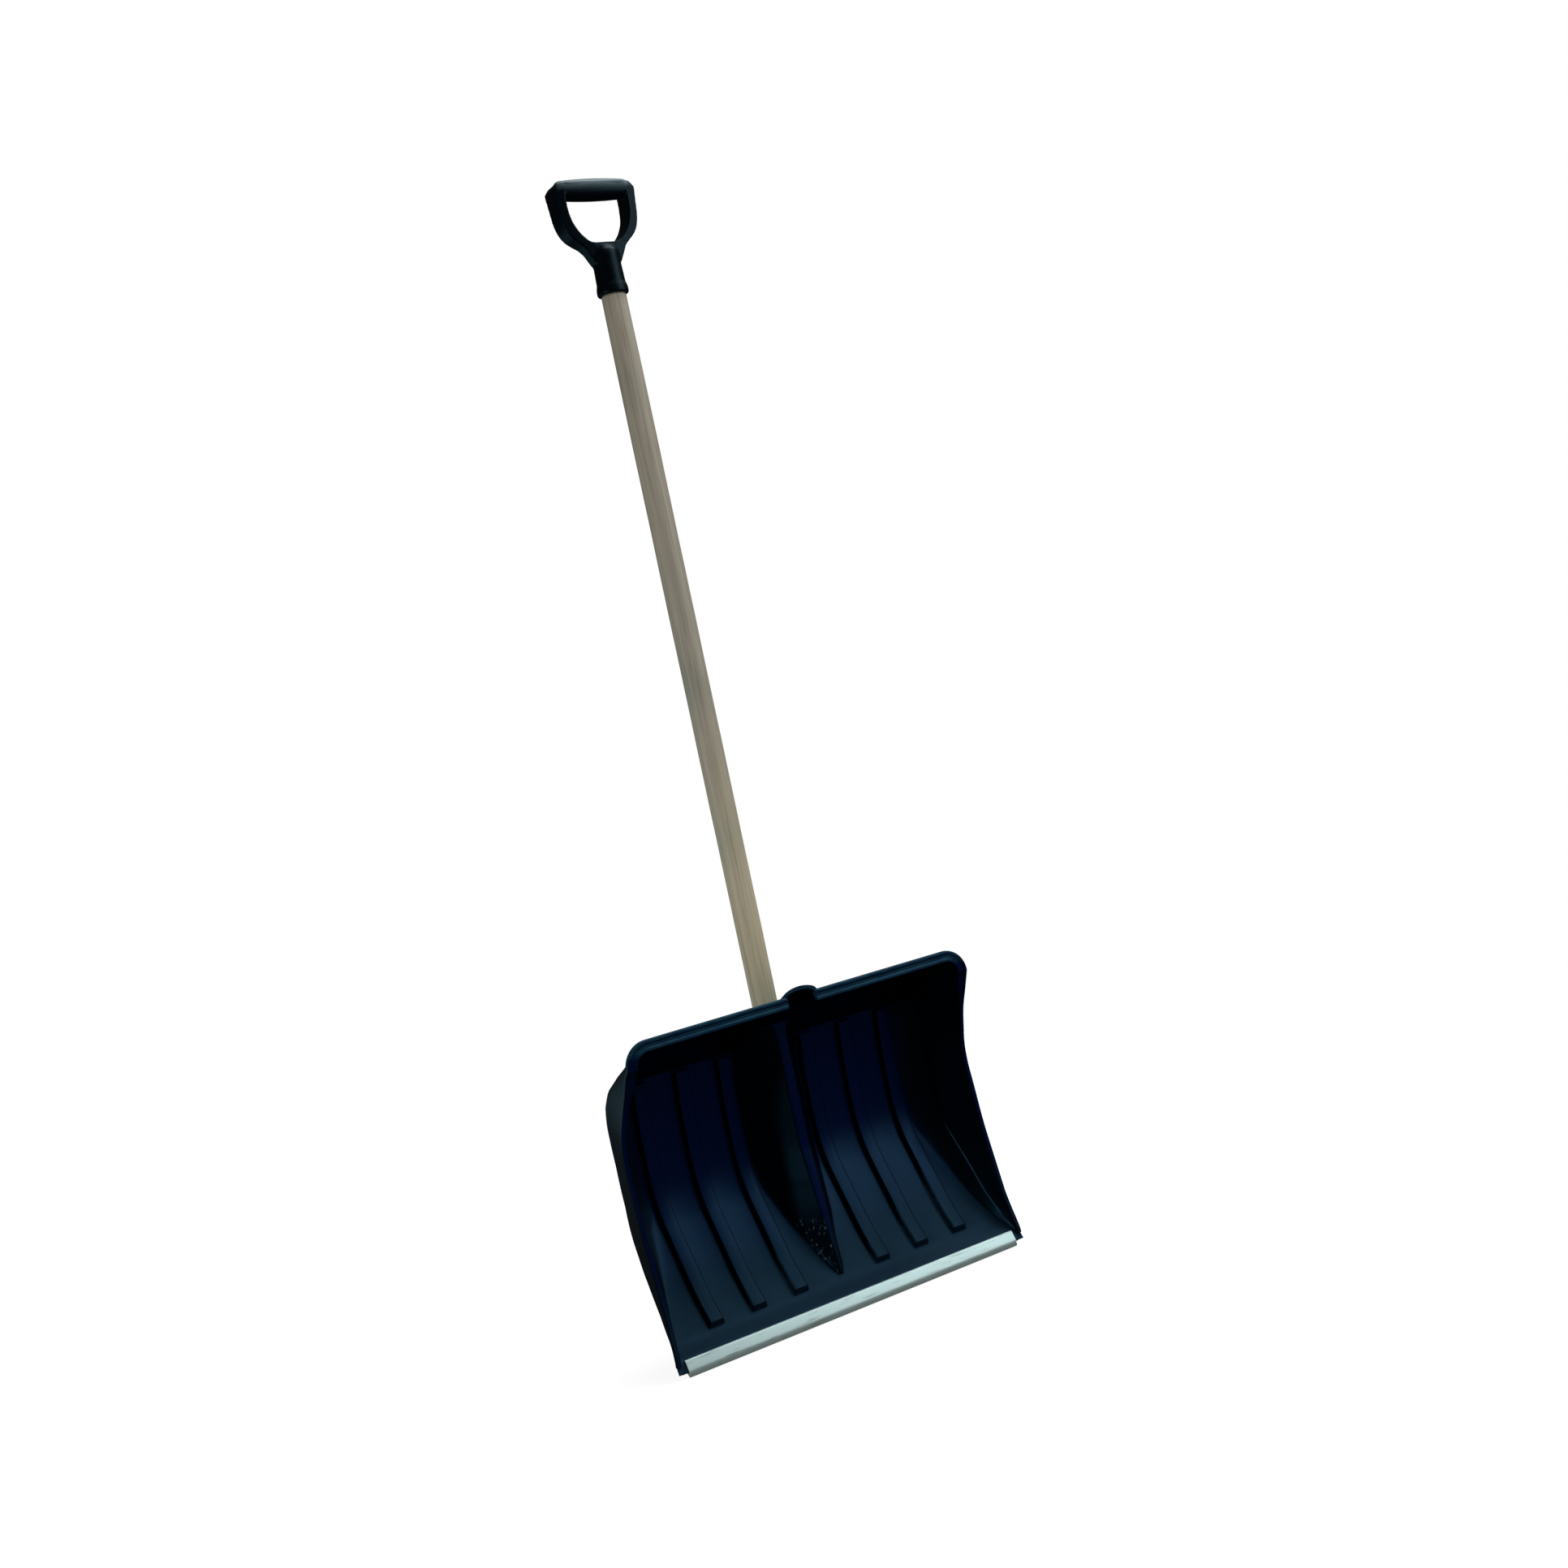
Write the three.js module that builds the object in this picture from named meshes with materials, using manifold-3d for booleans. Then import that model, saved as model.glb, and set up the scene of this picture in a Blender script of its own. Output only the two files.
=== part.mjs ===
// Scoop snow shovel: a moulded polypropylene blade on a straight ash handle, an
// aluminium wear strip along the cutting edge, a moulded D-grip, and the screws
// that hold them together.
//
// Millimetres, +Z up. The handle's axis is the Z axis, the scoop opens towards -Y
// and X = 0 is the plane of symmetry. Inside this file heights are counted from the
// blade's lower edge; the last lines move the origin up to the underside of the
// hand bar, where the shovel hangs on a hook.
import * as THREE from 'three';
import { mergeVertices } from 'three/addons/utils/BufferGeometryUtils.js';
import Module from 'manifold-3d';

const wasm = await Module();
wasm.setup();

// ---------------------------------------------------------------- dimensions
const GAP = 0.3; // clearance between pieces that touch

// Scoop
const WALL = 3;
const SCOOP_HALF_WIDTH = 243; // inner face of a wing at its free edge
const TIP_HALF_WIDTH = 247.5; // the same, down at the tips
const FLOOR_HALF_WIDTH = 190.5; // where the floor starts to turn into a wing
const CREASE_HEIGHT = 318; // fold between the floor and the hood
const CREASE_DEPTH = 28.5;
const HOOD_FRONT_HEIGHT = 375;
const HOOD_FRONT_DEPTH = -88;

// Side view of the floor, [depth, height], from the fold down to the wear strip
const FLOOR_POINTS = [
  [CREASE_DEPTH, CREASE_HEIGHT], [34, 275], [36.5, 232], [34.5, 185], [26, 150], [13, 124],
  [-4, 94], [-24, 60], [-48, 30], [-61, 19], [-71.7, 12],
];
// Side view of a wing's free edge, [depth, height]
const FREE_EDGE_POINTS = [
  [-88, 349], [-75, 325], [-60, 300], [-49, 275], [-42.5, 250], [-41.5, 225], [-44, 200],
  [-48.5, 150], [-57, 100], [-66, 50], [-72, 25], [-74.5, 13],
];
// The floor turns into a wing by way of a sloping shoulder. [distance from the wing's
// free edge, height] for the fold on the floor side and for the bend on the wing side
const TURN_POINTS = [[2, 0], [3, 13], [9, 24], [20, 60], [34, 105], [50, 160], [52, 200], [53, 400]];
const SHOULDER_POINTS = [
  [0.5, 0], [1, 13], [3, 31], [5, 60], [8, 105], [13, 150], [16, 180], [16, 230], [14, 270], [12, 310],
  [12, 400],
];
// How far forward of the floor that bend lies, and how round it is
const SHOULDER_RISE_POINTS = [[3, 0], [6, 13], [11, 31], [13, 60], [13, 150], [11, 270], [11, 400]];
const SHOULDER_BEND_POINTS = [[3, 0], [5, 60], [7, 150], [14, 270], [14, 400]];

// Three hollow stiffening bars on each side of the nose
const BAR_OFFSETS = [60, 119, 178];
const BAR_HALF_WIDTH = 9;
const BAR_RISE = 7.5;
const BAR_DRAFT = 1.5;
const BAR_FOOT = 29.5;
const BAR_END_SLOPE = 2;
const BAR_TOP = CREASE_HEIGHT - 4;

// Nose: the hollow ridge over the handle's socket
const NOSE_CREST_DEPTH = -25;
const NOSE_TOP = 344;
const NOSE_TIP = 33;
const HOLLOW_TOP = 306.5; // the bars and the nose are hollow behind up to here
const NOSE_CREST_POINTS = [
  [-50, 33], [-39, 112], [-25.5, 188], [NOSE_CREST_DEPTH, 200], [NOSE_CREST_DEPTH, 400],
];
const NOSE_CREST_HALF_WIDTHS = [[1.2, 33], [6, 112], [7, 190], [7, 400]];
const NOSE_BASE_HALF_WIDTHS = [
  [2.4, 33], [8, 45], [18, 75], [27, 97], [41, 150], [44.5, 185], [44.5, 400],
];

// Rim: a grooved flange along the top, round the corners and down the wings
const RIM_HEIGHT = 14;
const RIM_DEPTH = 6;
const RIM_TOP = 380;
const RIM_FACE = -93;
const CORNER_RADIUS = 30.5;
const CORNER_CENTRE = 211;
const WING_RIM_HALF = 2.6;
const MOUTH_HALF_WIDTH = 20; // gap in the top rim over the nose
const MOUTH_CROWN = 9;
const MOUTH_LINING = 4.5;
const MOUTH_FRONT = -89;
const MOUTH_NOTCH_BACK = -82; // how far back the rim's gap cuts into the hood

// Handle and its sockets
const HANDLE_RADIUS = 16;
const HANDLE_TOP_RADIUS = 15.3;
const HANDLE_BOTTOM = 126;
const HANDLE_TOP = 1298;
const TENON_RADIUS = 14; // the handle is turned down inside the grip's collar
const SOCKET_OUTER_RADIUS = 19;
const SOCKET_BOTTOM = 118;
const SOCKET_TOP = 350;
const WEB_HEIGHTS = [150, 205, 260, 300];
const WEB_THICKNESS = 2.5;
const WEB_FRONT = 6; // depth at which the cross walls stop, inside the nose
const FACETS = 40;

// Wear strip, in a frame whose origin is the front lower edge of the blade's lip
const EDGE_ORIGIN = [-77.6, 0]; // depth, height
const EDGE_TILT = THREE.MathUtils.degToRad(27);
const EDGE_PLATE = 4;
const STRIP_HALF_LENGTH = 238.5;
const STRIP_WALL = 1.8;
const STRIP_FRONT_HEIGHT = 14;
const STRIP_BACK_HEIGHT = 9.5;
const STRIP_NOSE = 5.6;
const STRIP_FLAT = 2.6;
const EDGE_SCREW_OFFSETS = [-208, -104, 0, 104, 208];
const EDGE_SCREW_HEIGHT = 4.6;
const EDGE_SCREW_SHANK_RADIUS = 1.5;
const EDGE_SCREW_HEAD_RADIUS = 3.2;
const EDGE_SCREW_HEAD_HEIGHT = 1.7;
const EDGE_SCREW_LENGTH = 5;

// D-grip
const GRIP_HALF_WIDTH = 55.5;
// Side view of the arms and their web, [depth, height], and their depth at the outer side
const GRIP_FRONT_POINTS = [[-8, 1280], [-12, 1386]];
const GRIP_BACK_POINTS = [[18, 1386], [18, 1317], [8.5, 1298], [8, 1280]];
const ARM_OUTER_FRONT = -8.5;
const BAR_CENTRE_HEIGHT = 1377;
const BAR_RADIUS = 13.6;
const BAR_END_RADIUS = 11.4;
const GRIP_TOP = 1385;
const GRIP_TOP_HALF_WIDTH = 49;
const GRIP_BEVEL = 2.5;
// Outer side of an arm and side of the opening, [distance from the axis, height]
const ARM_POINTS = [
  [54.6, 1367], [53.5, 1355], [52.6, 1344], [50.4, 1334], [46.6, 1325], [41, 1318], [35.3, 1313],
  [29, 1307],
];
const OPENING_POINTS = [
  [14, 1311.5], [21, 1314], [27.4, 1320], [32.5, 1326], [37, 1334], [39.7, 1342], [41, 1351], [41.5, 1360],
];
const GUSSET_HALF_WIDTH = 20.2;
const COLLAR_RADIUS = 17.6;
const COLLAR_NECK_RADIUS = 17.2;
const COLLAR_BEAD_RADIUS = 19.5;
const COLLAR_BOTTOM = 1247.5;
const COLLAR_TOP = 1304;

// Wood screws that lock the handle into its sockets, from behind
const SCREW_SHANK_RADIUS = 2.1;
const SCREW_HEAD_RADIUS = 4.4;
const SCREW_HEAD_HEIGHT = 2.6;
const SCREW_LENGTH = 15;
const SOCKET_SCREW_HEIGHTS = [280, 177];
const GRIP_SCREW_HEIGHT = 1274;

// ---------------------------------------------------------------- materials
function finish(color, roughness, metalness) {
  return new THREE.MeshStandardMaterial({ color, roughness, metalness });
}
const bladePlastic = finish(0x17202b, 0.5, 0);
const gripPlastic = finish(0x181d22, 0.55, 0);
const ashWood = finish(0x9c8d77, 0.7, 0);
const aluminium = finish(0xc4d6d4, 0.35, 0.9);
const zincSteel = finish(0xb3b6b8, 0.4, 0.9);

// ---------------------------------------------------------------- solids
const WELD = 1e-4;

// Same faces with shared corners: only positions are kept, so that seams close up
function welded(geometry) {
  const bare = geometry.clone();
  bare.deleteAttribute('normal');
  bare.deleteAttribute('uv');
  return mergeVertices(bare, WELD);
}

function toSolid(geometry) {
  const merged = welded(geometry);
  return new wasm.Manifold(new wasm.Mesh({
    numProp: 3,
    vertProperties: new Float32Array(merged.attributes.position.array),
    triVerts: new Uint32Array(merged.index.array),
  }));
}

function toGeometry(solid) {
  const mesh = solid.getMesh();
  const indexed = new THREE.BufferGeometry();
  indexed.setAttribute('position', new THREE.BufferAttribute(mesh.vertProperties, 3));
  indexed.setIndex(new THREE.BufferAttribute(mesh.triVerts, 1));
  const geometry = indexed.toNonIndexed();
  geometry.computeVertexNormals();
  return geometry;
}

function piece(name, solid, material) {
  const mesh = new THREE.Mesh(toGeometry(solid), material);
  mesh.name = name;
  return mesh;
}

// Closed solid from rings of equal length. Each end is closed by a fan, or, when its
// ring runs out along one face and back along the other, strip by strip.
function loft(rings, closeInStrips = false) {
  const count = rings[0].length;
  const positions = rings.flat().flatMap((point) => [point.x, point.y, point.z]);
  const index = [];
  for (let r = 0; r + 1 < rings.length; r += 1) {
    for (let i = 0; i < count; i += 1) {
      const a = r * count + i;
      const b = r * count + ((i + 1) % count);
      index.push(a, b, b + count, a, b + count, a + count);
    }
  }
  const last = (rings.length - 1) * count;
  const addEnd = (i, j, k) => index.push(i, k, j, last + i, last + j, last + k);
  if (closeInStrips) {
    for (let near = 0; near + 1 < count / 2; near += 1) {
      const far = count - 1 - near;
      addEnd(near, far - 1, far);
      addEnd(near, near + 1, far - 1);
    }
  } else {
    for (let i = 1; i + 1 < count; i += 1) addEnd(0, i, i + 1);
  }
  const geometry = new THREE.BufferGeometry();
  geometry.setAttribute('position', new THREE.Float32BufferAttribute(positions, 3));
  geometry.setIndex(index);
  return facingOut(geometry);
}

// Turn every triangle round when the enclosed volume comes out negative
function facingOut(geometry) {
  const position = geometry.attributes.position;
  const index = geometry.index.array;
  const corner = [new THREE.Vector3(), new THREE.Vector3(), new THREE.Vector3()];
  let volume = 0;
  for (let i = 0; i < index.length; i += 3) {
    corner.forEach((point, k) => point.fromBufferAttribute(position, index[i + k]));
    volume += corner[0].dot(corner[1].clone().cross(corner[2])) / 6;
  }
  if (volume < 0) {
    for (let i = 0; i < index.length; i += 3) {
      [index[i + 1], index[i + 2]] = [index[i + 2], index[i + 1]];
    }
  }
  return toSolid(geometry);
}

function lathe(profile, facets = FACETS) {
  const points = profile.map(([radius, height]) => new THREE.Vector2(radius, height));
  const geometry = new THREE.LatheGeometry(points, facets);
  geometry.rotateX(Math.PI / 2);
  return facingOut(welded(geometry));
}

function rod(radius, bottom, top, facets = FACETS) {
  return lathe([[0, bottom], [radius, bottom], [radius, top], [0, top]], facets);
}

function block(low, high) {
  const size = high.map((value, k) => value - low[k]);
  const geometry = new THREE.BoxGeometry(...size);
  geometry.translate(...high.map((value, k) => (value + low[k]) / 2));
  return toSolid(geometry);
}

// Height-ordered table of [value, height], read with straight lines between rows
function tableAt(table, height) {
  const rows = [...table].sort((a, b) => a[1] - b[1]);
  if (height <= rows[0][1]) return rows[0][0];
  for (let i = 1; i < rows.length; i += 1) {
    const [value, top] = rows[i];
    const [below, bottom] = rows[i - 1];
    if (height <= top) return below + ((value - below) * (height - bottom)) / (top - bottom);
  }
  return rows[rows.length - 1][0];
}

// The same, along a smooth curve through the points
function smoothTable(points, samples = 160) {
  const curve = new THREE.SplineCurve(points.map(([depth, height]) => new THREE.Vector2(depth, height)));
  return curve.getPoints(samples).map((point) => [point.x, point.y]);
}

// ---------------------------------------------------------------- scoop
const floorTable = smoothTable(FLOOR_POINTS);
const freeEdgeTable = smoothTable(FREE_EDGE_POINTS);

function edgePoint(back, up) {
  const [depth, height] = EDGE_ORIGIN;
  const y = depth + back * Math.cos(EDGE_TILT) + up * Math.sin(EDGE_TILT);
  const z = height - back * Math.sin(EDGE_TILT) + up * Math.cos(EDGE_TILT);
  return [y, z];
}

// Depth of the scoop's front face on its centre line: lip, floor, then hood
function scoopDepth(height) {
  const [lipDepth, lipHeight] = FLOOR_POINTS[FLOOR_POINTS.length - 1];
  const [edgeDepth, edgeHeight] = EDGE_ORIGIN;
  if (height < lipHeight) {
    const rise = (height - edgeHeight) / (lipHeight - edgeHeight);
    return edgeDepth + (lipDepth - edgeDepth) * rise;
  }
  if (height <= CREASE_HEIGHT) return tableAt(floorTable, height);
  const rise = (height - CREASE_HEIGHT) / (HOOD_FRONT_HEIGHT - CREASE_HEIGHT);
  return CREASE_DEPTH + (HOOD_FRONT_DEPTH - CREASE_DEPTH) * rise;
}

// Unit normal of that face, pointing into the scoop
function scoopNormal(height) {
  const step = 1.5;
  const low = scoopDepth(height - step);
  const high = scoopDepth(height + step);
  const normal = new THREE.Vector2(-2 * step, high - low);
  return normal.normalize();
}

// The fold between floor and hood is rounder where it meets a wing: this is how far
// forward the wing's root sits there
function foldSoftness(height) {
  const reach = 16;
  const around = (scoopDepth(height - reach) + scoopDepth(height + reach)) / 2;
  const nearFold = Math.abs(height - CREASE_HEIGHT) < reach;
  return nearFold ? Math.max(0, (scoopDepth(height) - around) / 2) : 0;
}

function freeEdgeDepth(height) {
  if (height > FREE_EDGE_POINTS[0][1]) return HOOD_FRONT_DEPTH;
  return tableAt(freeEdgeTable, height);
}

// Inner face of a wing at its free edge
function freeEdgeHalfWidth(height) {
  const cornerHeight = RIM_TOP - CORNER_RADIUS;
  if (height > cornerHeight) {
    const reach = CORNER_RADIUS - RIM_HEIGHT / 2;
    const rise = Math.min(height - cornerHeight, reach - 1);
    return CORNER_CENTRE + Math.sqrt(reach * reach - rise * rise);
  }
  const spread = THREE.MathUtils.clamp(1 - height / 60, 0, 1);
  const cornerHalfWidth = CORNER_CENTRE + CORNER_RADIUS - RIM_HEIGHT / 2;
  const topBlend = THREE.MathUtils.smoothstep(height, 270, cornerHeight);
  const plain = SCOOP_HALF_WIDTH + (TIP_HALF_WIDTH - SCOOP_HALF_WIDTH) * spread;
  return plain + (cornerHalfWidth - plain) * topBlend;
}

// Points that round off a corner between two straight runs
function bend(before, corner, after, radius) {
  const reach = (end) => Math.min(radius, corner.distanceTo(end) * 0.45);
  const from = corner.clone().lerp(before, reach(before) / corner.distanceTo(before));
  const to = corner.clone().lerp(after, reach(after) / corner.distanceTo(after));
  const curve = new THREE.QuadraticBezierCurve3(from, corner, to);
  return curve.getPoints(3);
}

// One row of the scoop's front face (back = 0) or rear face (back = 1), from the
// middle of the blade out to the free edge of the right wing
function scoopHalfRow(row, back) {
  const wall = back * (row.wall ?? WALL);
  const height = row.height + back * (row.backShift ?? 0);
  const depth = scoopDepth(height);
  const normal = scoopNormal(height);
  const onFloor = (x, rise) => new THREE.Vector3(
    x,
    depth + normal.x * (rise - wall),
    height + normal.y * (rise - wall),
  );
  const points = [];

  const crestDepth = Math.min(tableAt(NOSE_CREST_POINTS, height), depth);
  const solidHere = back === 1 && height > HOLLOW_TOP;
  const hasNose = height > NOSE_TIP && height <= NOSE_TOP && crestDepth < depth - 1 && !solidHere;
  const crestHalf = tableAt(NOSE_CREST_HALF_WIDTHS, height);
  const baseHalf = tableAt(NOSE_BASE_HALF_WIDTHS, height);
  const noseWall = Math.min(wall, crestHalf * 0.7);
  const crest = onFloor(crestHalf - noseWall * 0.4, 0);
  if (hasNose) crest.set(crestHalf - noseWall * 0.4, crestDepth + wall, height);
  points.push(crest, onFloor(baseHalf - noseWall, 0));

  const rise = row.bars && !solidHere ? BAR_RISE : 0;
  for (const offset of BAR_OFFSETS) {
    const half = BAR_HALF_WIDTH - wall;
    points.push(
      onFloor(offset - half - BAR_DRAFT, 0),
      onFloor(offset - half, rise),
      onFloor(offset + half, rise),
      onFloor(offset + half + BAR_DRAFT, 0),
    );
  }

  const edgeDepth = Math.min(freeEdgeDepth(height), depth - 0.4);
  const edgeHalf = freeEdgeHalfWidth(height);
  const wingDepth = depth - edgeDepth;
  const turn = Math.min(tableAt(TURN_POINTS, height), edgeHalf - FLOOR_HALF_WIDTH);
  const start = onFloor(edgeHalf - turn, 0);
  const shoulderRise = Math.min(tableAt(SHOULDER_RISE_POINTS, height), wingDepth * 0.45);
  const shoulder = new THREE.Vector3(
    edgeHalf - Math.min(tableAt(SHOULDER_POINTS, height), turn * 0.5) + wall * 0.7,
    depth - shoulderRise - foldSoftness(height) + wall * 0.7,
    height,
  );
  const edge = new THREE.Vector3(edgeHalf + wall, edgeDepth, height);
  points.push(start, ...bend(start, shoulder, edge, tableAt(SHOULDER_BEND_POINTS, height)), edge);
  return points;
}

function scoopRow(row, back) {
  const right = scoopHalfRow(row, back);
  const left = right.map((point) => new THREE.Vector3(-point.x, point.y, point.z)).reverse();
  return [...left, ...right];
}

function scoopRows() {
  const plain = (height, extra = {}) => ({ height, ...extra });
  const barred = (height) => plain(height, { bars: true });
  const edge = { wall: EDGE_PLATE };
  return [
    plain(0, edge), plain(6, edge), plain(12, edge), plain(15, edge), plain(19), plain(24),
    plain(BAR_FOOT - BAR_END_SLOPE, { backShift: WALL }),
    plain(BAR_FOOT, { backShift: WALL, bars: true }),
    ...[38, 54, 72, 92, 112, 130, 146, 160, 180, 210, 250, 280].map(barred),
    ...[HOLLOW_TOP - 4, HOLLOW_TOP, BAR_TOP].map(barred),
    plain(BAR_TOP + BAR_END_SLOPE),
    ...[CREASE_HEIGHT, CREASE_HEIGHT + 5, 332, NOSE_TOP - 2, NOSE_TOP + 2].map((height) => plain(height)),
    ...[353, 360, 367, HOOD_FRONT_HEIGHT].map((height) => plain(height)),
  ];
}

// Each ring runs along the front face and returns along the rear face
function scoopShell() {
  const rings = scoopRows().map((row) => [...scoopRow(row, 0), ...scoopRow(row, 1).reverse()]);
  return loft(rings, true);
}

// ---------------------------------------------------------------- rim
// Stations of the rim from the right tip to the middle of the top edge. Each holds
// the centre, the outward direction in the X-Z plane and the half height there.
function rimStations() {
  const stations = [];
  const cornerHeight = RIM_TOP - CORNER_RADIUS;
  for (const height of [14, 25, 50, 100, 150, 200, 225, 250, 275, 300, 325]) {
    const grow = THREE.MathUtils.smoothstep(height, 285, cornerHeight);
    const half = WING_RIM_HALF + (RIM_HEIGHT / 2 - WING_RIM_HALF) * grow;
    stations.push({
      centre: new THREE.Vector3(freeEdgeHalfWidth(height) + WALL / 2, freeEdgeDepth(height), height),
      outward: new THREE.Vector3(1, 0, 0),
      half: Math.min(half, WING_RIM_HALF + height * 0.1),
    });
  }
  const reach = CORNER_RADIUS - RIM_HEIGHT / 2;
  const steps = 8;
  for (let i = 0; i <= steps; i += 1) {
    const angle = (i / steps) * (Math.PI / 2);
    const outward = new THREE.Vector3(Math.cos(angle), 0, Math.sin(angle));
    const centre = outward.clone().multiplyScalar(reach);
    centre.add(new THREE.Vector3(CORNER_CENTRE, RIM_FACE + RIM_DEPTH / 2, cornerHeight));
    stations.push({ centre, outward, half: RIM_HEIGHT / 2 });
  }
  return stations;
}

function rimSection({ centre, outward, half }) {
  const depthHalf = RIM_DEPTH / 2;
  const groove = Math.min(1.6, half * 0.3);
  const outline = [
    [half, depthHalf], [half, -depthHalf], [half * 0.35, -depthHalf], [half * 0.25, groove - depthHalf],
    [-half * 0.25, groove - depthHalf], [-half * 0.35, -depthHalf], [-half, -depthHalf], [-half, depthHalf],
  ];
  return outline.map(([across, depth]) => centre.clone()
    .addScaledVector(outward, across)
    .add(new THREE.Vector3(0, depth, 0)));
}

function rim() {
  const right = rimStations();
  const left = right.map(({ centre, outward, half }) => ({
    centre: new THREE.Vector3(-centre.x, centre.y, centre.z),
    outward: new THREE.Vector3(-outward.x, outward.y, outward.z),
    half,
  })).reverse();
  return loft([...right, ...left].map(rimSection));
}

// ---------------------------------------------------------------- mouth and socket
// A shallow tunnel in the hood in front of the handle, open through the rim
function tunnel(halfWidth, crown, back, front) {
  const steps = 8;
  const ring = (depth) => {
    const hoodSlope = (HOOD_FRONT_HEIGHT - CREASE_HEIGHT) / (CREASE_DEPTH - HOOD_FRONT_DEPTH);
    const hoodHeight = CREASE_HEIGHT + (CREASE_DEPTH - depth) * hoodSlope;
    const points = [];
    for (let i = 0; i <= steps; i += 1) {
      const side = -1 + (2 * i) / steps;
      const rise = crown * (1 - 0.45 * side * side);
      points.push(new THREE.Vector3(side * halfWidth, depth, hoodHeight + rise));
    }
    points.push(new THREE.Vector3(halfWidth, depth, hoodHeight - 1));
    points.push(new THREE.Vector3(-halfWidth, depth, hoodHeight - 1));
    return points;
  };
  return loft([ring(back), ring(front)]);
}

function socketTube() {
  const bottomCone = 6;
  return lathe([
    [0, SOCKET_BOTTOM], [SOCKET_OUTER_RADIUS - 1, SOCKET_BOTTOM],
    [SOCKET_OUTER_RADIUS, SOCKET_BOTTOM + bottomCone], [SOCKET_OUTER_RADIUS, SOCKET_TOP],
    [0, SOCKET_TOP],
  ]);
}

// Cross walls in the rear half of the nose that tie the socket tube to the floor
function socketWebs() {
  return WEB_HEIGHTS.map((height) => {
    const crest = tableAt(NOSE_CREST_POINTS, height);
    const crestHalf = tableAt(NOSE_CREST_HALF_WIDTHS, height);
    const floorDepth = scoopDepth(height);
    const baseHalf = tableAt(NOSE_BASE_HALF_WIDTHS, height);
    const inset = WALL * 0.4;
    const slope = (WEB_FRONT - crest) / (floorDepth - crest);
    const frontHalf = crestHalf + (baseHalf - crestHalf) * slope - inset;
    const rearHalf = baseHalf - inset;
    const rear = floorDepth + WALL - 0.5;
    const ring = (z) => [
      new THREE.Vector3(-frontHalf, WEB_FRONT, z), new THREE.Vector3(frontHalf, WEB_FRONT, z),
      new THREE.Vector3(rearHalf, rear, z), new THREE.Vector3(-rearHalf, rear, z),
    ];
    return loft([ring(height - WEB_THICKNESS / 2), ring(height + WEB_THICKNESS / 2)]);
  });
}

// ---------------------------------------------------------------- screws
// Pan-head screw along local +Z: the head's seat is at z = 0, the shank points down
function screwSolid(shankRadius, headRadius, headHeight, length) {
  const tip = shankRadius * 1.4;
  const body = lathe([
    [0, -length], [shankRadius, tip - length], [shankRadius, 0], [headRadius, 0],
    [headRadius, headHeight * 0.45], [headRadius * 0.72, headHeight * 0.9], [0, headHeight],
  ], 12);
  const slot = headRadius * 0.55;
  const slotHalfWidth = 0.5;
  const slotFloor = headHeight * 0.45;
  const cross = [
    block([-slot, -slotHalfWidth, slotFloor], [slot, slotHalfWidth, headHeight + 1]),
    block([-slotHalfWidth, -slot, slotFloor], [slotHalfWidth, slot, headHeight + 1]),
  ];
  return cross.reduce((solid, cut) => solid.subtract(cut), body);
}

function screwHole(shankRadius, length) {
  return rod(shankRadius + GAP, -length - 1, 40, 12);
}

// Turn a solid made along +Z so that +Z points along the given direction
function aimed(solid, direction, position) {
  const turn = new THREE.Quaternion().setFromUnitVectors(new THREE.Vector3(0, 0, 1), direction);
  const matrix = new THREE.Matrix4().compose(position, turn, new THREE.Vector3(1, 1, 1));
  return solid.transform(matrix.toArray());
}

const backwards = new THREE.Vector3(0, 1, 0);
const handleScrew = screwSolid(SCREW_SHANK_RADIUS, SCREW_HEAD_RADIUS, SCREW_HEAD_HEIGHT, SCREW_LENGTH);
const handleScrewHole = screwHole(SCREW_SHANK_RADIUS, SCREW_LENGTH);
const edgeScrew = screwSolid(
  EDGE_SCREW_SHANK_RADIUS,
  EDGE_SCREW_HEAD_RADIUS,
  EDGE_SCREW_HEAD_HEIGHT,
  EDGE_SCREW_LENGTH,
);
const edgeScrewHole = screwHole(EDGE_SCREW_SHANK_RADIUS, EDGE_SCREW_LENGTH);

const socketScrewPlaces = SOCKET_SCREW_HEIGHTS
  .map((height) => new THREE.Vector3(0, SOCKET_OUTER_RADIUS + GAP, height));
const gripScrewPlace = new THREE.Vector3(0, COLLAR_RADIUS + GAP, GRIP_SCREW_HEIGHT);

const stripBack = EDGE_PLATE + GAP + STRIP_WALL;
const edgeBackwards = new THREE.Vector3(0, Math.cos(EDGE_TILT), -Math.sin(EDGE_TILT));
const edgeScrewPlaces = EDGE_SCREW_OFFSETS.map((x) => {
  const [y, z] = edgePoint(stripBack + GAP, EDGE_SCREW_HEIGHT);
  return new THREE.Vector3(x, y, z);
});

function drill(solid, hole, direction, places) {
  return places.reduce((rest, place) => rest.subtract(aimed(hole, direction, place)), solid);
}

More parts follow.
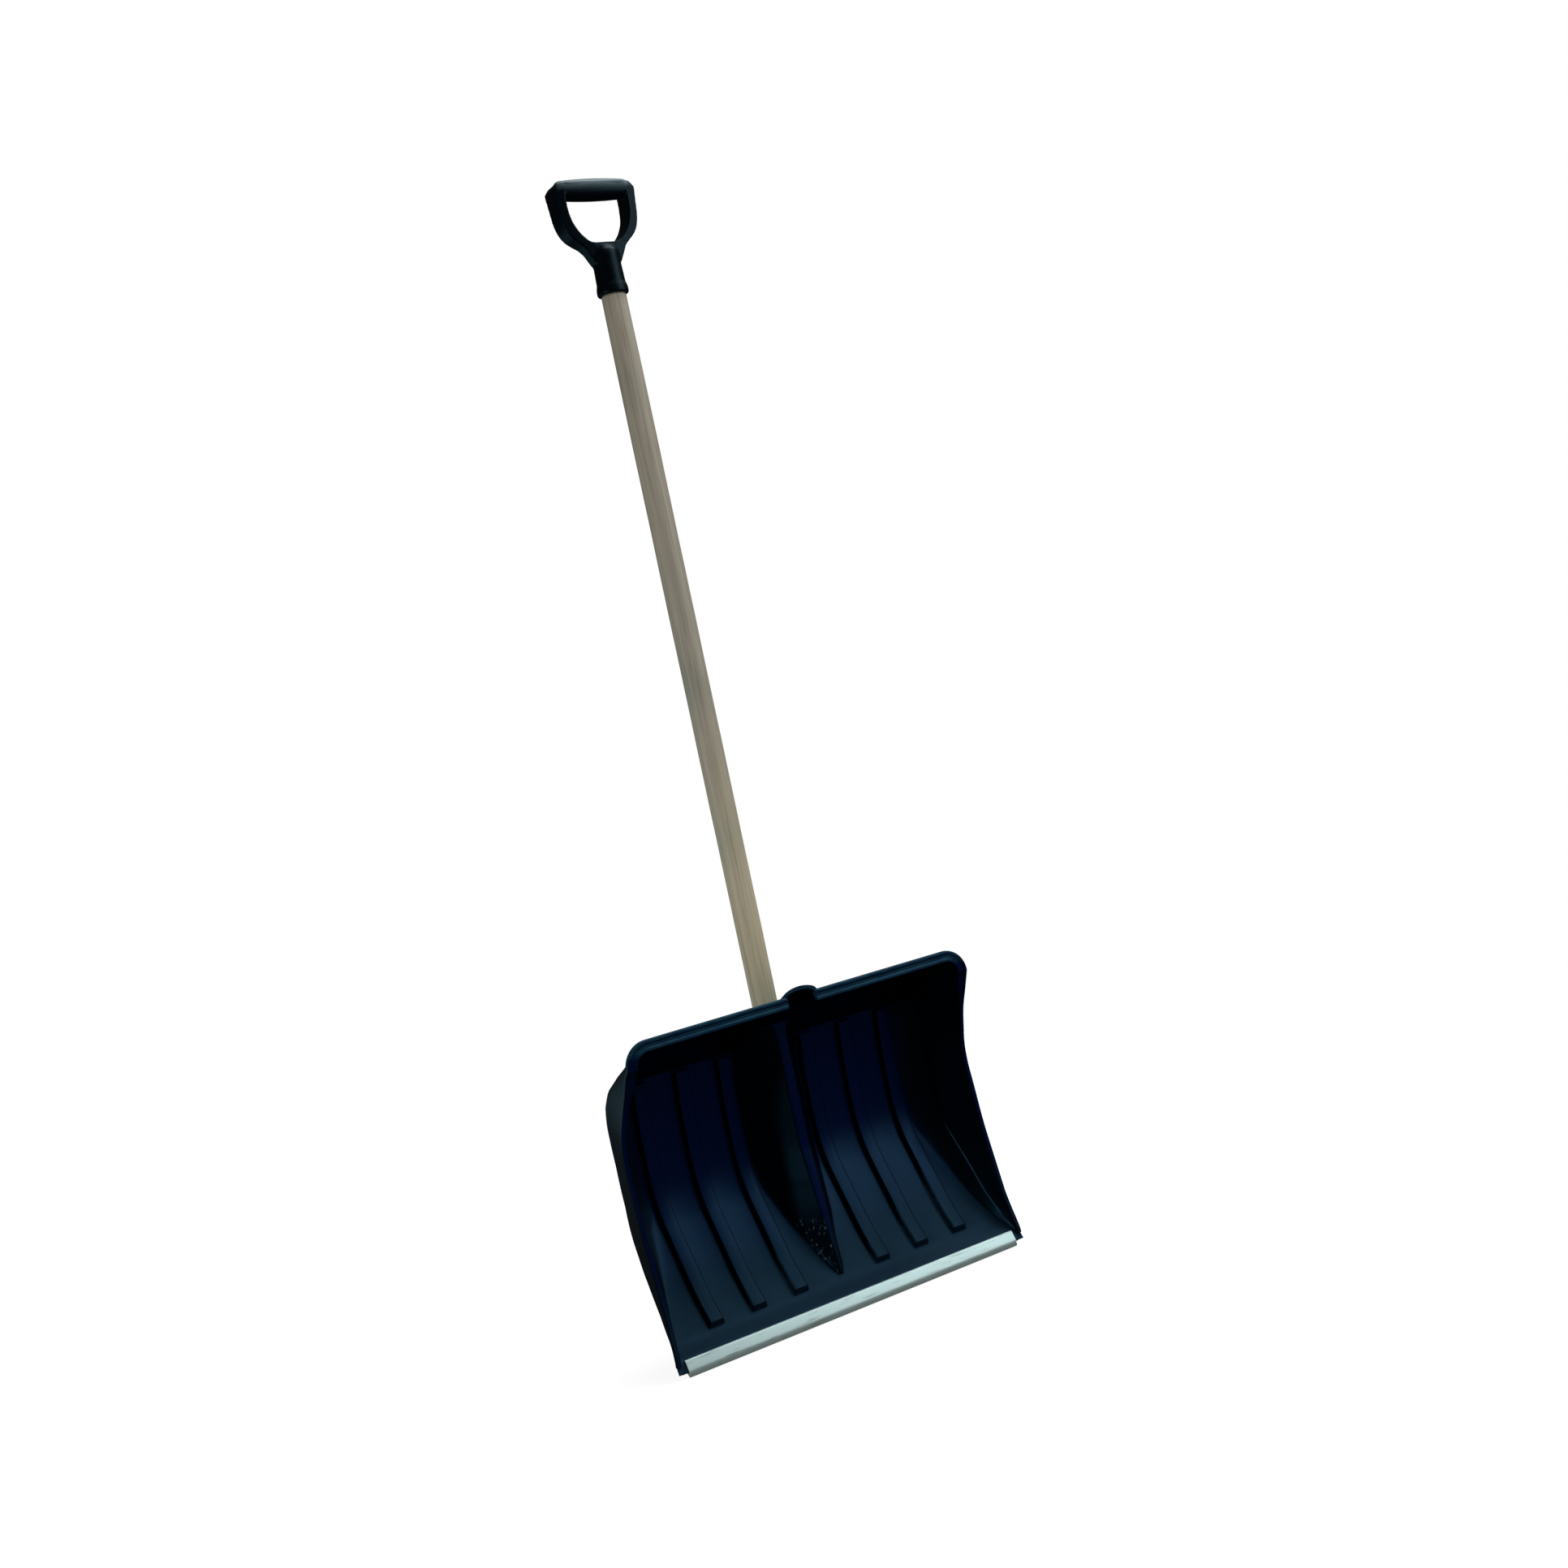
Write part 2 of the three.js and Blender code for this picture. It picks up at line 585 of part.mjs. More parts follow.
// ---------------------------------------------------------------- blade
function bladeSolid() {
  let solid = scoopShell().add(rim());
  solid = solid.add(socketTube());
  for (const web of socketWebs()) solid = solid.add(web);
  solid = solid.add(tunnel(
    MOUTH_HALF_WIDTH + MOUTH_LINING,
    MOUTH_CROWN + MOUTH_LINING,
    NOSE_CREST_DEPTH - 1,
    MOUTH_FRONT,
  ));
  solid = solid.subtract(tunnel(
    MOUTH_HALF_WIDTH,
    MOUTH_CROWN,
    NOSE_CREST_DEPTH - 2,
    MOUTH_FRONT - 20,
  ));
  solid = solid.subtract(block(
    [-MOUTH_HALF_WIDTH, RIM_FACE - 5, RIM_TOP - RIM_HEIGHT - 3],
    [MOUTH_HALF_WIDTH, MOUTH_NOTCH_BACK, RIM_TOP - 4],
  ));
  solid = solid.subtract(rod(HANDLE_RADIUS + GAP, HANDLE_BOTTOM - GAP, SOCKET_TOP + 40));
  solid = drill(solid, handleScrewHole, backwards, socketScrewPlaces);
  return drill(solid, edgeScrewHole, edgeBackwards, edgeScrewPlaces);
}

// ---------------------------------------------------------------- wear strip
// Channel section in the edge frame, [back, up]: front flange, nose, rear flange
function stripSolid() {
  const front = -GAP - STRIP_WALL;
  const flatFront = (EDGE_PLATE - STRIP_FLAT) / 2;
  const outline = new THREE.Shape();
  outline.moveTo(-GAP, STRIP_FRONT_HEIGHT);
  outline.lineTo(front + 0.7, STRIP_FRONT_HEIGHT);
  outline.lineTo(front, STRIP_FRONT_HEIGHT - 0.9);
  outline.lineTo(front, 1.2);
  outline.quadraticCurveTo(front + 0.2, -STRIP_NOSE + 1.2, flatFront, -STRIP_NOSE);
  outline.lineTo(flatFront + STRIP_FLAT, -STRIP_NOSE);
  outline.quadraticCurveTo(stripBack - 0.2, -STRIP_NOSE + 1.2, stripBack, 1.2);
  outline.lineTo(stripBack, STRIP_BACK_HEIGHT);
  outline.lineTo(EDGE_PLATE + GAP, STRIP_BACK_HEIGHT);
  outline.lineTo(EDGE_PLATE + GAP, -GAP);
  outline.lineTo(-GAP, -GAP);
  outline.closePath();
  const geometry = new THREE.ExtrudeGeometry(outline, {
    depth: 2 * STRIP_HALF_LENGTH, bevelEnabled: false, curveSegments: 5,
  });
  // Extrusion axis Z becomes X; outline X becomes backwards, outline Y becomes up
  const backAxis = edgeBackwards;
  const upAxis = new THREE.Vector3(0, Math.sin(EDGE_TILT), Math.cos(EDGE_TILT));
  const along = backAxis.clone().cross(upAxis);
  const matrix = new THREE.Matrix4().makeBasis(backAxis, upAxis, along);
  matrix.setPosition(along.clone().multiplyScalar(-STRIP_HALF_LENGTH)
    .add(new THREE.Vector3(0, EDGE_ORIGIN[0], EDGE_ORIGIN[1])));
  geometry.applyMatrix4(matrix);
  return drill(toSolid(geometry), edgeScrewHole, edgeBackwards, edgeScrewPlaces);
}

// ---------------------------------------------------------------- handle
function handleSolid() {
  const taper = 90;
  const chamfer = 3;
  let solid = lathe([
    [0, HANDLE_BOTTOM], [HANDLE_RADIUS - chamfer, HANDLE_BOTTOM],
    [HANDLE_RADIUS, HANDLE_BOTTOM + chamfer], [HANDLE_RADIUS, COLLAR_BOTTOM - taper],
    [HANDLE_TOP_RADIUS, COLLAR_BOTTOM - 1.5], [TENON_RADIUS, COLLAR_BOTTOM - GAP],
    [TENON_RADIUS, HANDLE_TOP - chamfer], [TENON_RADIUS - chamfer, HANDLE_TOP], [0, HANDLE_TOP],
  ]);
  solid = drill(solid, handleScrewHole, backwards, socketScrewPlaces);
  return drill(solid, handleScrewHole, backwards, [gripScrewPlace]);
}

// ---------------------------------------------------------------- D-grip
// Both arms and the web under the opening, with a bevel all round
function gripFrame() {
  const toPoint = ([x, height]) => new THREE.Vector2(x, height);
  const closed = (side) => {
    const otherSide = side.map(([x, height]) => [-x, height]).reverse();
    return [...side, ...otherSide].map(toPoint);
  };
  const gusset = [[GUSSET_HALF_WIDTH, 1290], [COLLAR_NECK_RADIUS - 1, 1284]];
  const outline = new THREE.Shape(closed([
    [GRIP_TOP_HALF_WIDTH, GRIP_TOP], [GRIP_HALF_WIDTH, BAR_CENTRE_HEIGHT],
    ...smoothTable(ARM_POINTS, 18), ...gusset,
  ]));
  const openingTop = BAR_CENTRE_HEIGHT - 7;
  const openingSide = smoothTable(OPENING_POINTS, 18);
  outline.holes.push(new THREE.Path(closed([...openingSide, [OPENING_POINTS.at(-1)[0], openingTop]])));

  const [[back]] = GRIP_BACK_POINTS;
  const [front] = GRIP_FRONT_POINTS.at(-1);
  const geometry = new THREE.ExtrudeGeometry(outline, {
    depth: back - front - 2 * GRIP_BEVEL,
    bevelEnabled: true,
    bevelThickness: GRIP_BEVEL,
    bevelSize: GRIP_BEVEL,
    bevelOffset: -GRIP_BEVEL,
    bevelSegments: 1,
  });
  geometry.translate(0, 0, GRIP_BEVEL - back);
  geometry.rotateX(Math.PI / 2);

  const sideView = [-GRIP_HALF_WIDTH - 1, GRIP_HALF_WIDTH + 1].map((x) => (
    [...GRIP_FRONT_POINTS, ...GRIP_BACK_POINTS].map(([y, height]) => new THREE.Vector3(x, y, height))
  ));
  const inner = OPENING_POINTS.at(-1)[0];
  const topView = [GRIP_BACK_POINTS.at(-1)[1], GRIP_TOP + 1].map((height) => [
    new THREE.Vector3(-GRIP_HALF_WIDTH, ARM_OUTER_FRONT, height), new THREE.Vector3(-inner, front, height),
    new THREE.Vector3(inner, front, height), new THREE.Vector3(GRIP_HALF_WIDTH, ARM_OUTER_FRONT, height),
    new THREE.Vector3(GRIP_HALF_WIDTH, back, height), new THREE.Vector3(-GRIP_HALF_WIDTH, back, height),
  ]);
  return toSolid(geometry).intersect(loft(sideView)).intersect(loft(topView));
}

function handBar() {
  const end = GRIP_TOP_HALF_WIDTH - 1;
  const crown = [-40, -20, 0, 20, 40]
    .map((x) => [BAR_END_RADIUS + (BAR_RADIUS - BAR_END_RADIUS) * (1 - (x / end) ** 2), x]);
  const bar = lathe([
    [0, -end], [BAR_END_RADIUS - 3, -end], [BAR_END_RADIUS, -end + 4], ...crown,
    [BAR_END_RADIUS, end - 4], [BAR_END_RADIUS - 3, end], [0, end],
  ], 24);
  return aimed(bar, new THREE.Vector3(1, 0, 0), new THREE.Vector3(0, 0, BAR_CENTRE_HEIGHT));
}

function collar() {
  return lathe([
    [0, COLLAR_BOTTOM], [COLLAR_BEAD_RADIUS - 1, COLLAR_BOTTOM], [COLLAR_BEAD_RADIUS, COLLAR_BOTTOM + 2],
    [COLLAR_BEAD_RADIUS, COLLAR_BOTTOM + 8], [COLLAR_RADIUS, COLLAR_BOTTOM + 14],
    [COLLAR_RADIUS, COLLAR_BOTTOM + 24], [COLLAR_NECK_RADIUS, COLLAR_BOTTOM + 36],
    [COLLAR_NECK_RADIUS, COLLAR_TOP - 6], [COLLAR_NECK_RADIUS - 5, COLLAR_TOP + 4], [0, COLLAR_TOP + 5],
  ]);
}

function gripSolid() {
  let solid = gripFrame().add(handBar()).add(collar());
  const bore = rod(TENON_RADIUS + GAP, COLLAR_BOTTOM - 5, HANDLE_TOP + GAP);
  solid = solid.subtract(bore);
  return drill(solid, handleScrewHole, backwards, [gripScrewPlace]);
}

// ---------------------------------------------------------------- assembly
const shovel = new THREE.Group();
shovel.add(piece('shovel_blade', bladeSolid(), bladePlastic));
shovel.add(piece('edge_wear_strip', stripSolid(), aluminium));
shovel.add(piece('wooden_handle', handleSolid(), ashWood));
shovel.add(piece('d_grip', gripSolid(), gripPlastic));

edgeScrewPlaces.forEach((place, i) => {
  shovel.add(piece(`edge_screw_${i + 1}`, aimed(edgeScrew, edgeBackwards, place), zincSteel));
});
['upper', 'lower'].forEach((label, i) => {
  const solid = aimed(handleScrew, backwards, socketScrewPlaces[i]);
  shovel.add(piece(`socket_screw_${label}`, solid, zincSteel));
});
shovel.add(piece('grip_screw', aimed(handleScrew, backwards, gripScrewPlace), zincSteel));

// Origin at the underside of the hand bar, on the handle's axis
const HANG_HEIGHT = BAR_CENTRE_HEIGHT - BAR_RADIUS;
shovel.position.z = -HANG_HEIGHT;

const part = new THREE.Group();
part.add(shovel);
export default part;
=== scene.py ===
import math

import bmesh
import bpy
from mathutils import Matrix, Vector, kdtree


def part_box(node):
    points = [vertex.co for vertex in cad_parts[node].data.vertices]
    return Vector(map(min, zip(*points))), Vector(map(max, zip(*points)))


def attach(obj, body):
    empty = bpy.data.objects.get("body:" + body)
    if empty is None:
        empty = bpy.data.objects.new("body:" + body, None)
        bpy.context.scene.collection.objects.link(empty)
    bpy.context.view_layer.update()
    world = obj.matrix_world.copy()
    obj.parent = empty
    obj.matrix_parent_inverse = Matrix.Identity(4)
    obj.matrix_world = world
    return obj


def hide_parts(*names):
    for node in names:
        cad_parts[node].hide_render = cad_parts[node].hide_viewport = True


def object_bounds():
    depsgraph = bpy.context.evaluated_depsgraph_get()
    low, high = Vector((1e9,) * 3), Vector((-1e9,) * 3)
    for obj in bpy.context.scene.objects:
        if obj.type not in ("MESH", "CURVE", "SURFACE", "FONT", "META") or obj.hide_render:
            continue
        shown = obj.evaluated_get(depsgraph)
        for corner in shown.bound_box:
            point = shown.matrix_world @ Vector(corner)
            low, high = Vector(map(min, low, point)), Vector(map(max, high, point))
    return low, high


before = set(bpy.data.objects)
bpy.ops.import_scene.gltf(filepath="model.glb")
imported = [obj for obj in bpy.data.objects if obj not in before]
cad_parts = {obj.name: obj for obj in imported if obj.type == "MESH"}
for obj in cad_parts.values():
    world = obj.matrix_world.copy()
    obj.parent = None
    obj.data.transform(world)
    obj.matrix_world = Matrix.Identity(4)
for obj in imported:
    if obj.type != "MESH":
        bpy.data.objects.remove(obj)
cad_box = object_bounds()

# ---------------------------------------------------------------- dimensions
# Millimetres, as in the frame's design: X to the right, depth Y to the rear from the
# handle's axis, and height Z from the blade's lower edge. The row's origin is under the
# hand bar, so BASE is where height 0 lies in the row.
MM = 0.001
HANDLE_BOTTOM = 126
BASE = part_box("wooden_handle")[0][2] - HANDLE_BOTTOM * MM

# Scoop
WALL = 3
EDGE_PLATE = 4
EDGE_PLATE_TOP = 16  # below this the sheet is EDGE_PLATE thick
SCOOP_HALF_WIDTH = 243
TIP_HALF_WIDTH = 247.5
TIP_SPREAD_HEIGHT = 60
NARROWING_HEIGHT = 270  # above this the wings close in towards the rim's corners
FLOOR_HALF_WIDTH = 190.5
CREASE_HEIGHT = 318
CREASE_DEPTH = 28.5
HOOD_FRONT_HEIGHT = 375
HOOD_FRONT_DEPTH = -88
EDGE_DEPTH = -77.6
EDGE_TILT = math.radians(27)

# Tables of (value, height): the depth of the floor and of the wings' free edges, then how
# far a wing's turn starts inside its edge, and its shoulder's place and bend
FLOOR_DEPTHS = [
    (-71.7, 12), (-61, 19), (-48, 30), (-24, 60), (-4, 94), (13, 124),
    (26, 150), (34.5, 185), (36.2, 232), (34, 275), (CREASE_DEPTH, CREASE_HEIGHT),
]
FREE_EDGE_DEPTHS = [
    (-74.5, 13), (-72, 25), (-66, 50), (-57, 100), (-48.5, 150), (-44, 200),
    (-41.5, 225), (-42.5, 250), (-49, 275), (-60, 300), (-75, 325), (HOOD_FRONT_DEPTH, 349),
]
TURNS = [(2, 0), (3, 13), (9, 24), (20, 60), (34, 105), (50, 160), (52, 200), (53, 400)]
SHOULDERS = [
    (0.5, 0), (1, 13), (3, 31), (5, 60), (8, 105), (13, 150), (16, 180), (16, 230), (14, 270),
    (12, 310), (12, 400),
]
SHOULDER_RISES = [(3, 0), (6, 13), (11, 31), (13, 60), (13, 150), (11, 270), (11, 400)]
SHOULDER_BENDS = [(2, 0), (3, 60), (4, 150), (16, 270), (16, 400)]

# Raised bars, three on each side
BAR_OFFSETS = (60, 119, 178)
BAR_HALF_WIDTH = 9
BAR_RISE = 7.5
BAR_DRAFT = 1.5
BAR_FOOT = 28.5
BAR_TOP = 316
BAR_END = 3
BAR_FOOT_BEND = 1.2
BAR_EDGE_BEND = 1.6

# Nose, which widens from its crest to its base
NOSE_TIP = 33
NOSE_TOP = 346
NOSE_CREST_BEND = 2.2
NOSE_FOOT_BEND = 6
HOLLOW_TOP = 306.5
HOLLOW_FADE = 4  # the hollows behind the bars and the nose run out over twice this height
NOSE_CRESTS = [(-50, 33), (-39, 112), (-25.5, 188), (-25, 200), (-25, 400)]
NOSE_CREST_HALF_WIDTHS = [(1.2, 33), (6, 112), (7, 190), (7, 400)]
NOSE_BASE_HALF_WIDTHS = [
    (2.4, 33), (8, 45), (18, 75), (27, 97), (41, 150), (44.5, 185), (44.5, 400),
]

# Rim
RIM_HEIGHT = 14
RIM_DEPTH = 6
RIM_TOP = 380
RIM_FACE = -93
CORNER_RADIUS = 30.5
CORNER_CENTRE = 211
CORNER_HEIGHT = RIM_TOP - CORNER_RADIUS
CORNER_REACH = CORNER_RADIUS - RIM_HEIGHT / 2  # radius of the rim's middle line there
WING_RIM_HALF = 2.6
RIM_FOOT = 8
RIM_GROWTH_HEIGHT = 285  # above this a wing's narrow rim grows into the full rim
RIM_GROOVE = 1.0
RIM_END_RADIUS = 2.5
MOUTH_HALF_WIDTH = 20  # arch under the hood, and the gap in the rim in front of it
MOUTH_CROWN = 9
MOUTH_LINING = 4.5
MOUTH_BACK = -27
MOUTH_FRONT = -89
MOUTH_NOTCH_BACK = -82

# Handle and its sockets
GAP = 0.3  # between pieces that touch
ROUND_SIDES = 96
AXIS = 0.01  # radius at which a turned profile starts and ends
HANDLE_RADIUS = 16
HANDLE_TOP_RADIUS = 15.3
HANDLE_TOP = 1298
TENON_RADIUS = 14
SOCKET_OUTER_RADIUS = 19
SOCKET_BOTTOM = 118
SOCKET_TOP = 350
WEB_HEIGHTS = (150, 205, 260, 300)
WEB_THICKNESS = 2.5
WEB_FRONT = 6

# Wear strip
STRIP_HALF_LENGTH = 238.5
STRIP_WALL = 1.8
STRIP_FRONT_HEIGHT = 14
STRIP_BACK_HEIGHT = 9.5
STRIP_NOSE = 5.6
STRIP_FLAT = 2.6
EDGE_SCREW_OFFSETS = (-208, -104, 0, 104, 208)
EDGE_SCREW_HEIGHT = 4.6

# D-grip
GRIP_HALF_WIDTH = 55.5
GRIP_TOP = 1385
GRIP_TOP_HALF_WIDTH = 49
GRIP_FRONT = -12
GRIP_BACK = 18
ARM_TAPER_WIDTH = 13  # over this width the arm's front slopes away to its outer side,
ARM_OUTER_THINNESS = 0.7  # where this much of its depth is left
FRONT_TAPER_HEIGHT = 300  # the front would meet the handle's axis this far below the top
WEB_BACK_THINNESS = 0.47  # share of the rear depth left in the web below the opening
WEB_BACK_LOW = 1296
WEB_BACK_HIGH = 1319
BAR_CENTRE_HEIGHT = 1377
BAR_RADIUS = 13.6
BAR_END_RADIUS = 11.4
ARM_OUTSIDE = [
    (54.6, 1367), (53.5, 1355), (52.6, 1344), (50.4, 1334), (46.6, 1325), (41, 1318), (35.3, 1313),
    (29, 1307),
]
OPENING_SIDE = [
    (0, 1311.5), (14, 1311.5), (21, 1314), (27.4, 1320), (32.5, 1326), (37, 1334), (39.7, 1342),
    (41, 1351), (41.5, 1360),
]
GUSSET_HALF_WIDTH = 20.2
GUSSET_HEIGHT = 1290
GUSSET_FOOT = 1284
COLLAR_RADIUS = 17.6
COLLAR_NECK_RADIUS = 17.2
COLLAR_BEAD_RADIUS = 19.5
COLLAR_BOTTOM = 1247.5
COLLAR_TOP = 1304
SKIN_VOXEL = 0.75
SKIN_SOFTENING = 22  # rounds of smoothing, which leave edges of about 2 mm radius

# Screws: shank radius, head radius, head height, length
WOOD_SCREW = (2.1, 4.4, 2.6, 15)
EDGE_SCREW = (1.5, 3.2, 1.7, 5)
THREAD_PITCH = 1.1
SOCKET_SCREW_HEIGHTS = {"socket_screw_upper": 280, "socket_screw_lower": 177}
GRIP_SCREW_HEIGHT = 1274
BACKWARDS = Vector((0, 1, 0))
EDGE_BACKWARDS = Vector((0, math.cos(EDGE_TILT), -math.sin(EDGE_TILT)))
STRIP_BACK = EDGE_PLATE + GAP + STRIP_WALL

# Patches painted on the surfaces: painted light on the lower floor, a paler rim front, painted glints at
# the nose's foot, a paler lower handle and a painted highlight on the hand bar. Each fades in from its
# first value to its second one.
LOWER_FLOOR_LIGHT_HEIGHTS = (125, 45)
RIM_PALE_HEIGHTS = (360, 367)
RIM_PALE_DEPTHS = (-82, -86)
NOSE_GLINT_HEIGHTS = (112, 85)
NOSE_GLINT_HALF_WIDTHS = (26, 22)
PALE_WOOD_HEIGHTS = (800, 400)
BAR_HIGHLIGHT_HEIGHTS = (BAR_CENTRE_HEIGHT - BAR_RADIUS + 10, BAR_CENTRE_HEIGHT - BAR_RADIUS + 19)
BAR_HIGHLIGHT_HALF_WIDTHS = (52, 46)

# The studio. The camera's place is in the design frame, the lights' are in metres in the row.
CAMERA_PLACE = (-1154.5, -2080.6, 690.3)
CAMERA_RIGHT = Vector((0.83615, -0.50765, -0.20771))
CAMERA_FORWARD = Vector((0.51378, 0.85748, -0.02749))
FOCAL_LENGTH = 44.72
SENSOR = 36
STUDIO_HALF_WIDTH = 6000
STUDIO_DROP = 0.5  # the studio's floor lies this far below the shovel
# Area lights: place, target, size, watts, colour
LIGHTS = {
    "front_right_panel": ((1.15, -1.25, 0.05), (0, 0, -0.8), (1.0, 1.7), 9.5, (0.92, 0.98, 1.0)),
    "overhead_panel": ((0.85, 0.0, 1.65), (0, 0, -0.1), (1.8, 1.8), 44, (0.93, 0.98, 1.0)),
    "back_left_panel": ((-1.1, 1.5, -0.9), (0, 0, -1.1), (1.2, 0.9), 1.7, (0.45, 0.85, 1.0)),
    "left_strip": ((-1.58, -0.28, -0.71), (0, 0, -1.1), (0.08, 0.7), 5, (0.92, 0.98, 1.0)),
}


# ---------------------------------------------------------------- small tools
def table(rows, height):
    """Value at a height in a table ordered by height, straight between its rows."""
    if height <= rows[0][1]:
        return rows[0][0]
    for (below, bottom), (value, top) in zip(rows, rows[1:]):
        if height <= top:
            return below + (value - below) * (height - bottom) / (top - bottom)
    return rows[-1][0]


def smooth_table(rows, samples=12):
    """The same table along a Catmull-Rom curve through its points."""
    points = [Vector(row) for row in rows]
    points = [2 * points[0] - points[1]] + points + [2 * points[-1] - points[-2]]
    curve = []
    for a, b, c, d in zip(points, points[1:], points[2:], points[3:]):
        for i in range(samples):
            t = i / samples
            curve.append(0.5 * (
                2 * b + (c - a) * t + (2 * a - 5 * b + 4 * c - d) * t ** 2
                + (3 * b - a - 3 * c + d) * t ** 3
            ))
    curve.append(points[-2])
    return [tuple(point) for point in curve]


def smoothstep(value, low, high):
    """0 below low, 1 above high, and an even curve between them."""
    t = min(max((value - low) / (high - low), 0), 1)
    return t * t * (3 - 2 * t)


def bend_share(radius, side):
    """Share of a side that a bend takes up, always short of its middle."""
    return min(radius / max(side.length, 1e-6), 0.49)


def round_corners(corners, steps):
    """Polyline of (point, radius) with each inner corner turned into a smooth bend."""
    points = [corners[0][0]]
    for (before, _), (corner, radius), (after, _) in zip(corners, corners[1:], corners[2:]):
        back = before - corner
        ahead = after - corner
        start = corner + back * bend_share(radius, back)
        end = corner + ahead * bend_share(radius, ahead)
        for i in range(steps + 1):
            t = i / steps
            points.append(start * (1 - t) ** 2 + corner * (2 * t * (1 - t)) + end * t ** 2)
    points.append(corners[-1][0])
    return points


def to_row(point):
    """A point of the design, in millimetres, as metres in the row."""
    return Vector((point[0] * MM, point[1] * MM, point[2] * MM + BASE))


def new_object(name, mesh):
    obj = bpy.data.objects.new(name, mesh)
    bpy.context.scene.collection.objects.link(obj)
    return obj


def mesh_object(name, points, faces):
    """Object from points in millimetres, with its faces turned outward."""
    mesh = bpy.data.meshes.new(name)
    mesh.from_pydata([to_row(point) for point in points], [], faces)
    work = bmesh.new()
    work.from_mesh(mesh)
    bmesh.ops.remove_doubles(work, verts=work.verts, dist=0.004 * MM)
    bmesh.ops.recalc_face_normals(work, faces=work.faces)
    work.to_mesh(mesh)
    work.free()
    return new_object(name, mesh)


def loft(name, rings, close_in_strips=False):
    """Closed solid through rings of equal length, each end closed by a fan or by strips."""
    count = len(rings[0])
    faces = []
    for r in range(len(rings) - 1):
        for i in range(count):
            a = r * count + i
            b = r * count + (i + 1) % count
            faces.append((a, b, b + count, a + count))
    last = (len(rings) - 1) * count
    for first in (0, last):
        if close_in_strips:
            for near in range(count // 2 - 1):
                far = count - 1 - near
                faces.append((first + near, first + near + 1, first + far - 1, first + far))
        else:
            faces.append(tuple(range(first, first + count)))
    return mesh_object(name, [point for ring in rings for point in ring], faces)


def lathe(name, profile, segments, axis=(0, 0, 1), origin=(0, 0, 0)):
    """Solid turned from a profile of (radius, distance along the axis)."""
    turn = Vector((0, 0, 1)).rotation_difference(Vector(axis)).to_matrix()
    rings = []
    for radius, distance in profile:
        ring = []
        for i in range(segments):
            angle = 2 * math.pi * i / segments
            local = Vector((radius * math.cos(angle), radius * math.sin(angle), distance))
            ring.append(turn @ local + Vector(origin))
        rings.append(ring)
    return loft(name, rings)


def apply_modifiers(obj):
    """Turn what the modifiers make into the object's own mesh."""
    graph = bpy.context.evaluated_depsgraph_get()
    mesh = bpy.data.meshes.new_from_object(obj.evaluated_get(graph))
    obj.modifiers.clear()
    old = obj.data
    obj.data = mesh
    bpy.data.meshes.remove(old)


def combine(base, others, operation):
    """Join solids to the base, or cut them out of it."""
    for other in others:
        modifier = base.modifiers.new("join", "BOOLEAN")
        modifier.operation = operation
        modifier.solver = "MANIFOLD"
        modifier.object = other
        apply_modifiers(base)
        mesh = other.data
        bpy.data.objects.remove(other)
        bpy.data.meshes.remove(mesh)


def shade(obj, angle):
    """Smooth shading, with edges sharper than the angle in degrees kept crisp."""
    obj.data.shade_smooth()
    obj.data.set_sharp_from_angle(angle=math.radians(angle))


# ---------------------------------------------------------------- scoop
floor_table = smooth_table(FLOOR_DEPTHS)
free_edge_table = smooth_table(FREE_EDGE_DEPTHS)


def raw_depth(height):
    """Depth of the scoop's front face, with a sharp fold between the floor and the hood."""
    lip_depth, lip_height = FLOOR_DEPTHS[0]
    if height < lip_height:
        return EDGE_DEPTH + (lip_depth - EDGE_DEPTH) * height / lip_height
    if height <= CREASE_HEIGHT:
        return table(floor_table, height)
    rise = (height - CREASE_HEIGHT) / (HOOD_FRONT_HEIGHT - CREASE_HEIGHT)
    return CREASE_DEPTH + (HOOD_FRONT_DEPTH - CREASE_DEPTH) * rise


def scoop_depth(height):
    """Depth of the scoop's front face, with the fold to the hood slightly rounded."""
    reach = 2.5
    if abs(height - CREASE_HEIGHT) > reach:
        return raw_depth(height)
    samples = [raw_depth(height + reach * k / 4) for k in range(-4, 5)]
    return sum(samples) / len(samples)


def scoop_normal(height):
    """Direction, in depth and height, that the scoop's front face looks in."""
    step = 1.5
    rise = scoop_depth(height + step) - scoop_depth(height - step)
    return Vector((-2 * step, rise)).normalized()


def fold_softness(height):
    """How far the fold is pulled forward in the wings' shoulders, where it fades out."""
    reach = 18
    if abs(height - CREASE_HEIGHT) >= reach:
        return 0
    around = (raw_depth(height - reach) + raw_depth(height + reach)) / 2
    return max(0, (raw_depth(height) - around) / 2)


def free_edge_depth(height):
    """Depth of the wings' free edges, which end in the hood's front edge."""
    if height > FREE_EDGE_DEPTHS[-1][1]:
        return HOOD_FRONT_DEPTH
    return table(free_edge_table, height)


def free_edge_half_width(height):
    """Half the width between the wings' edges: wider at the tips, round at the corners."""
    if height > CORNER_HEIGHT:
        rise = min(height - CORNER_HEIGHT, CORNER_REACH - 1)
        return CORNER_CENTRE + math.sqrt(CORNER_REACH * CORNER_REACH - rise * rise)
    spread = min(max(1 - height / TIP_SPREAD_HEIGHT, 0), 1)
    plain = SCOOP_HALF_WIDTH + (TIP_HALF_WIDTH - SCOOP_HALF_WIDTH) * spread
    narrowed = smoothstep(height, NARROWING_HEIGHT, CORNER_HEIGHT)
    return plain + (CORNER_CENTRE + CORNER_REACH - plain) * narrowed


def bar_rise(height):
    """How far a bar stands out of the floor, with a short ramp at both of its ends."""
    foot = smoothstep(height, BAR_FOOT, BAR_FOOT + BAR_END)
    top = 1 - smoothstep(height, BAR_TOP - BAR_END, BAR_TOP)
    return BAR_RISE * foot * top


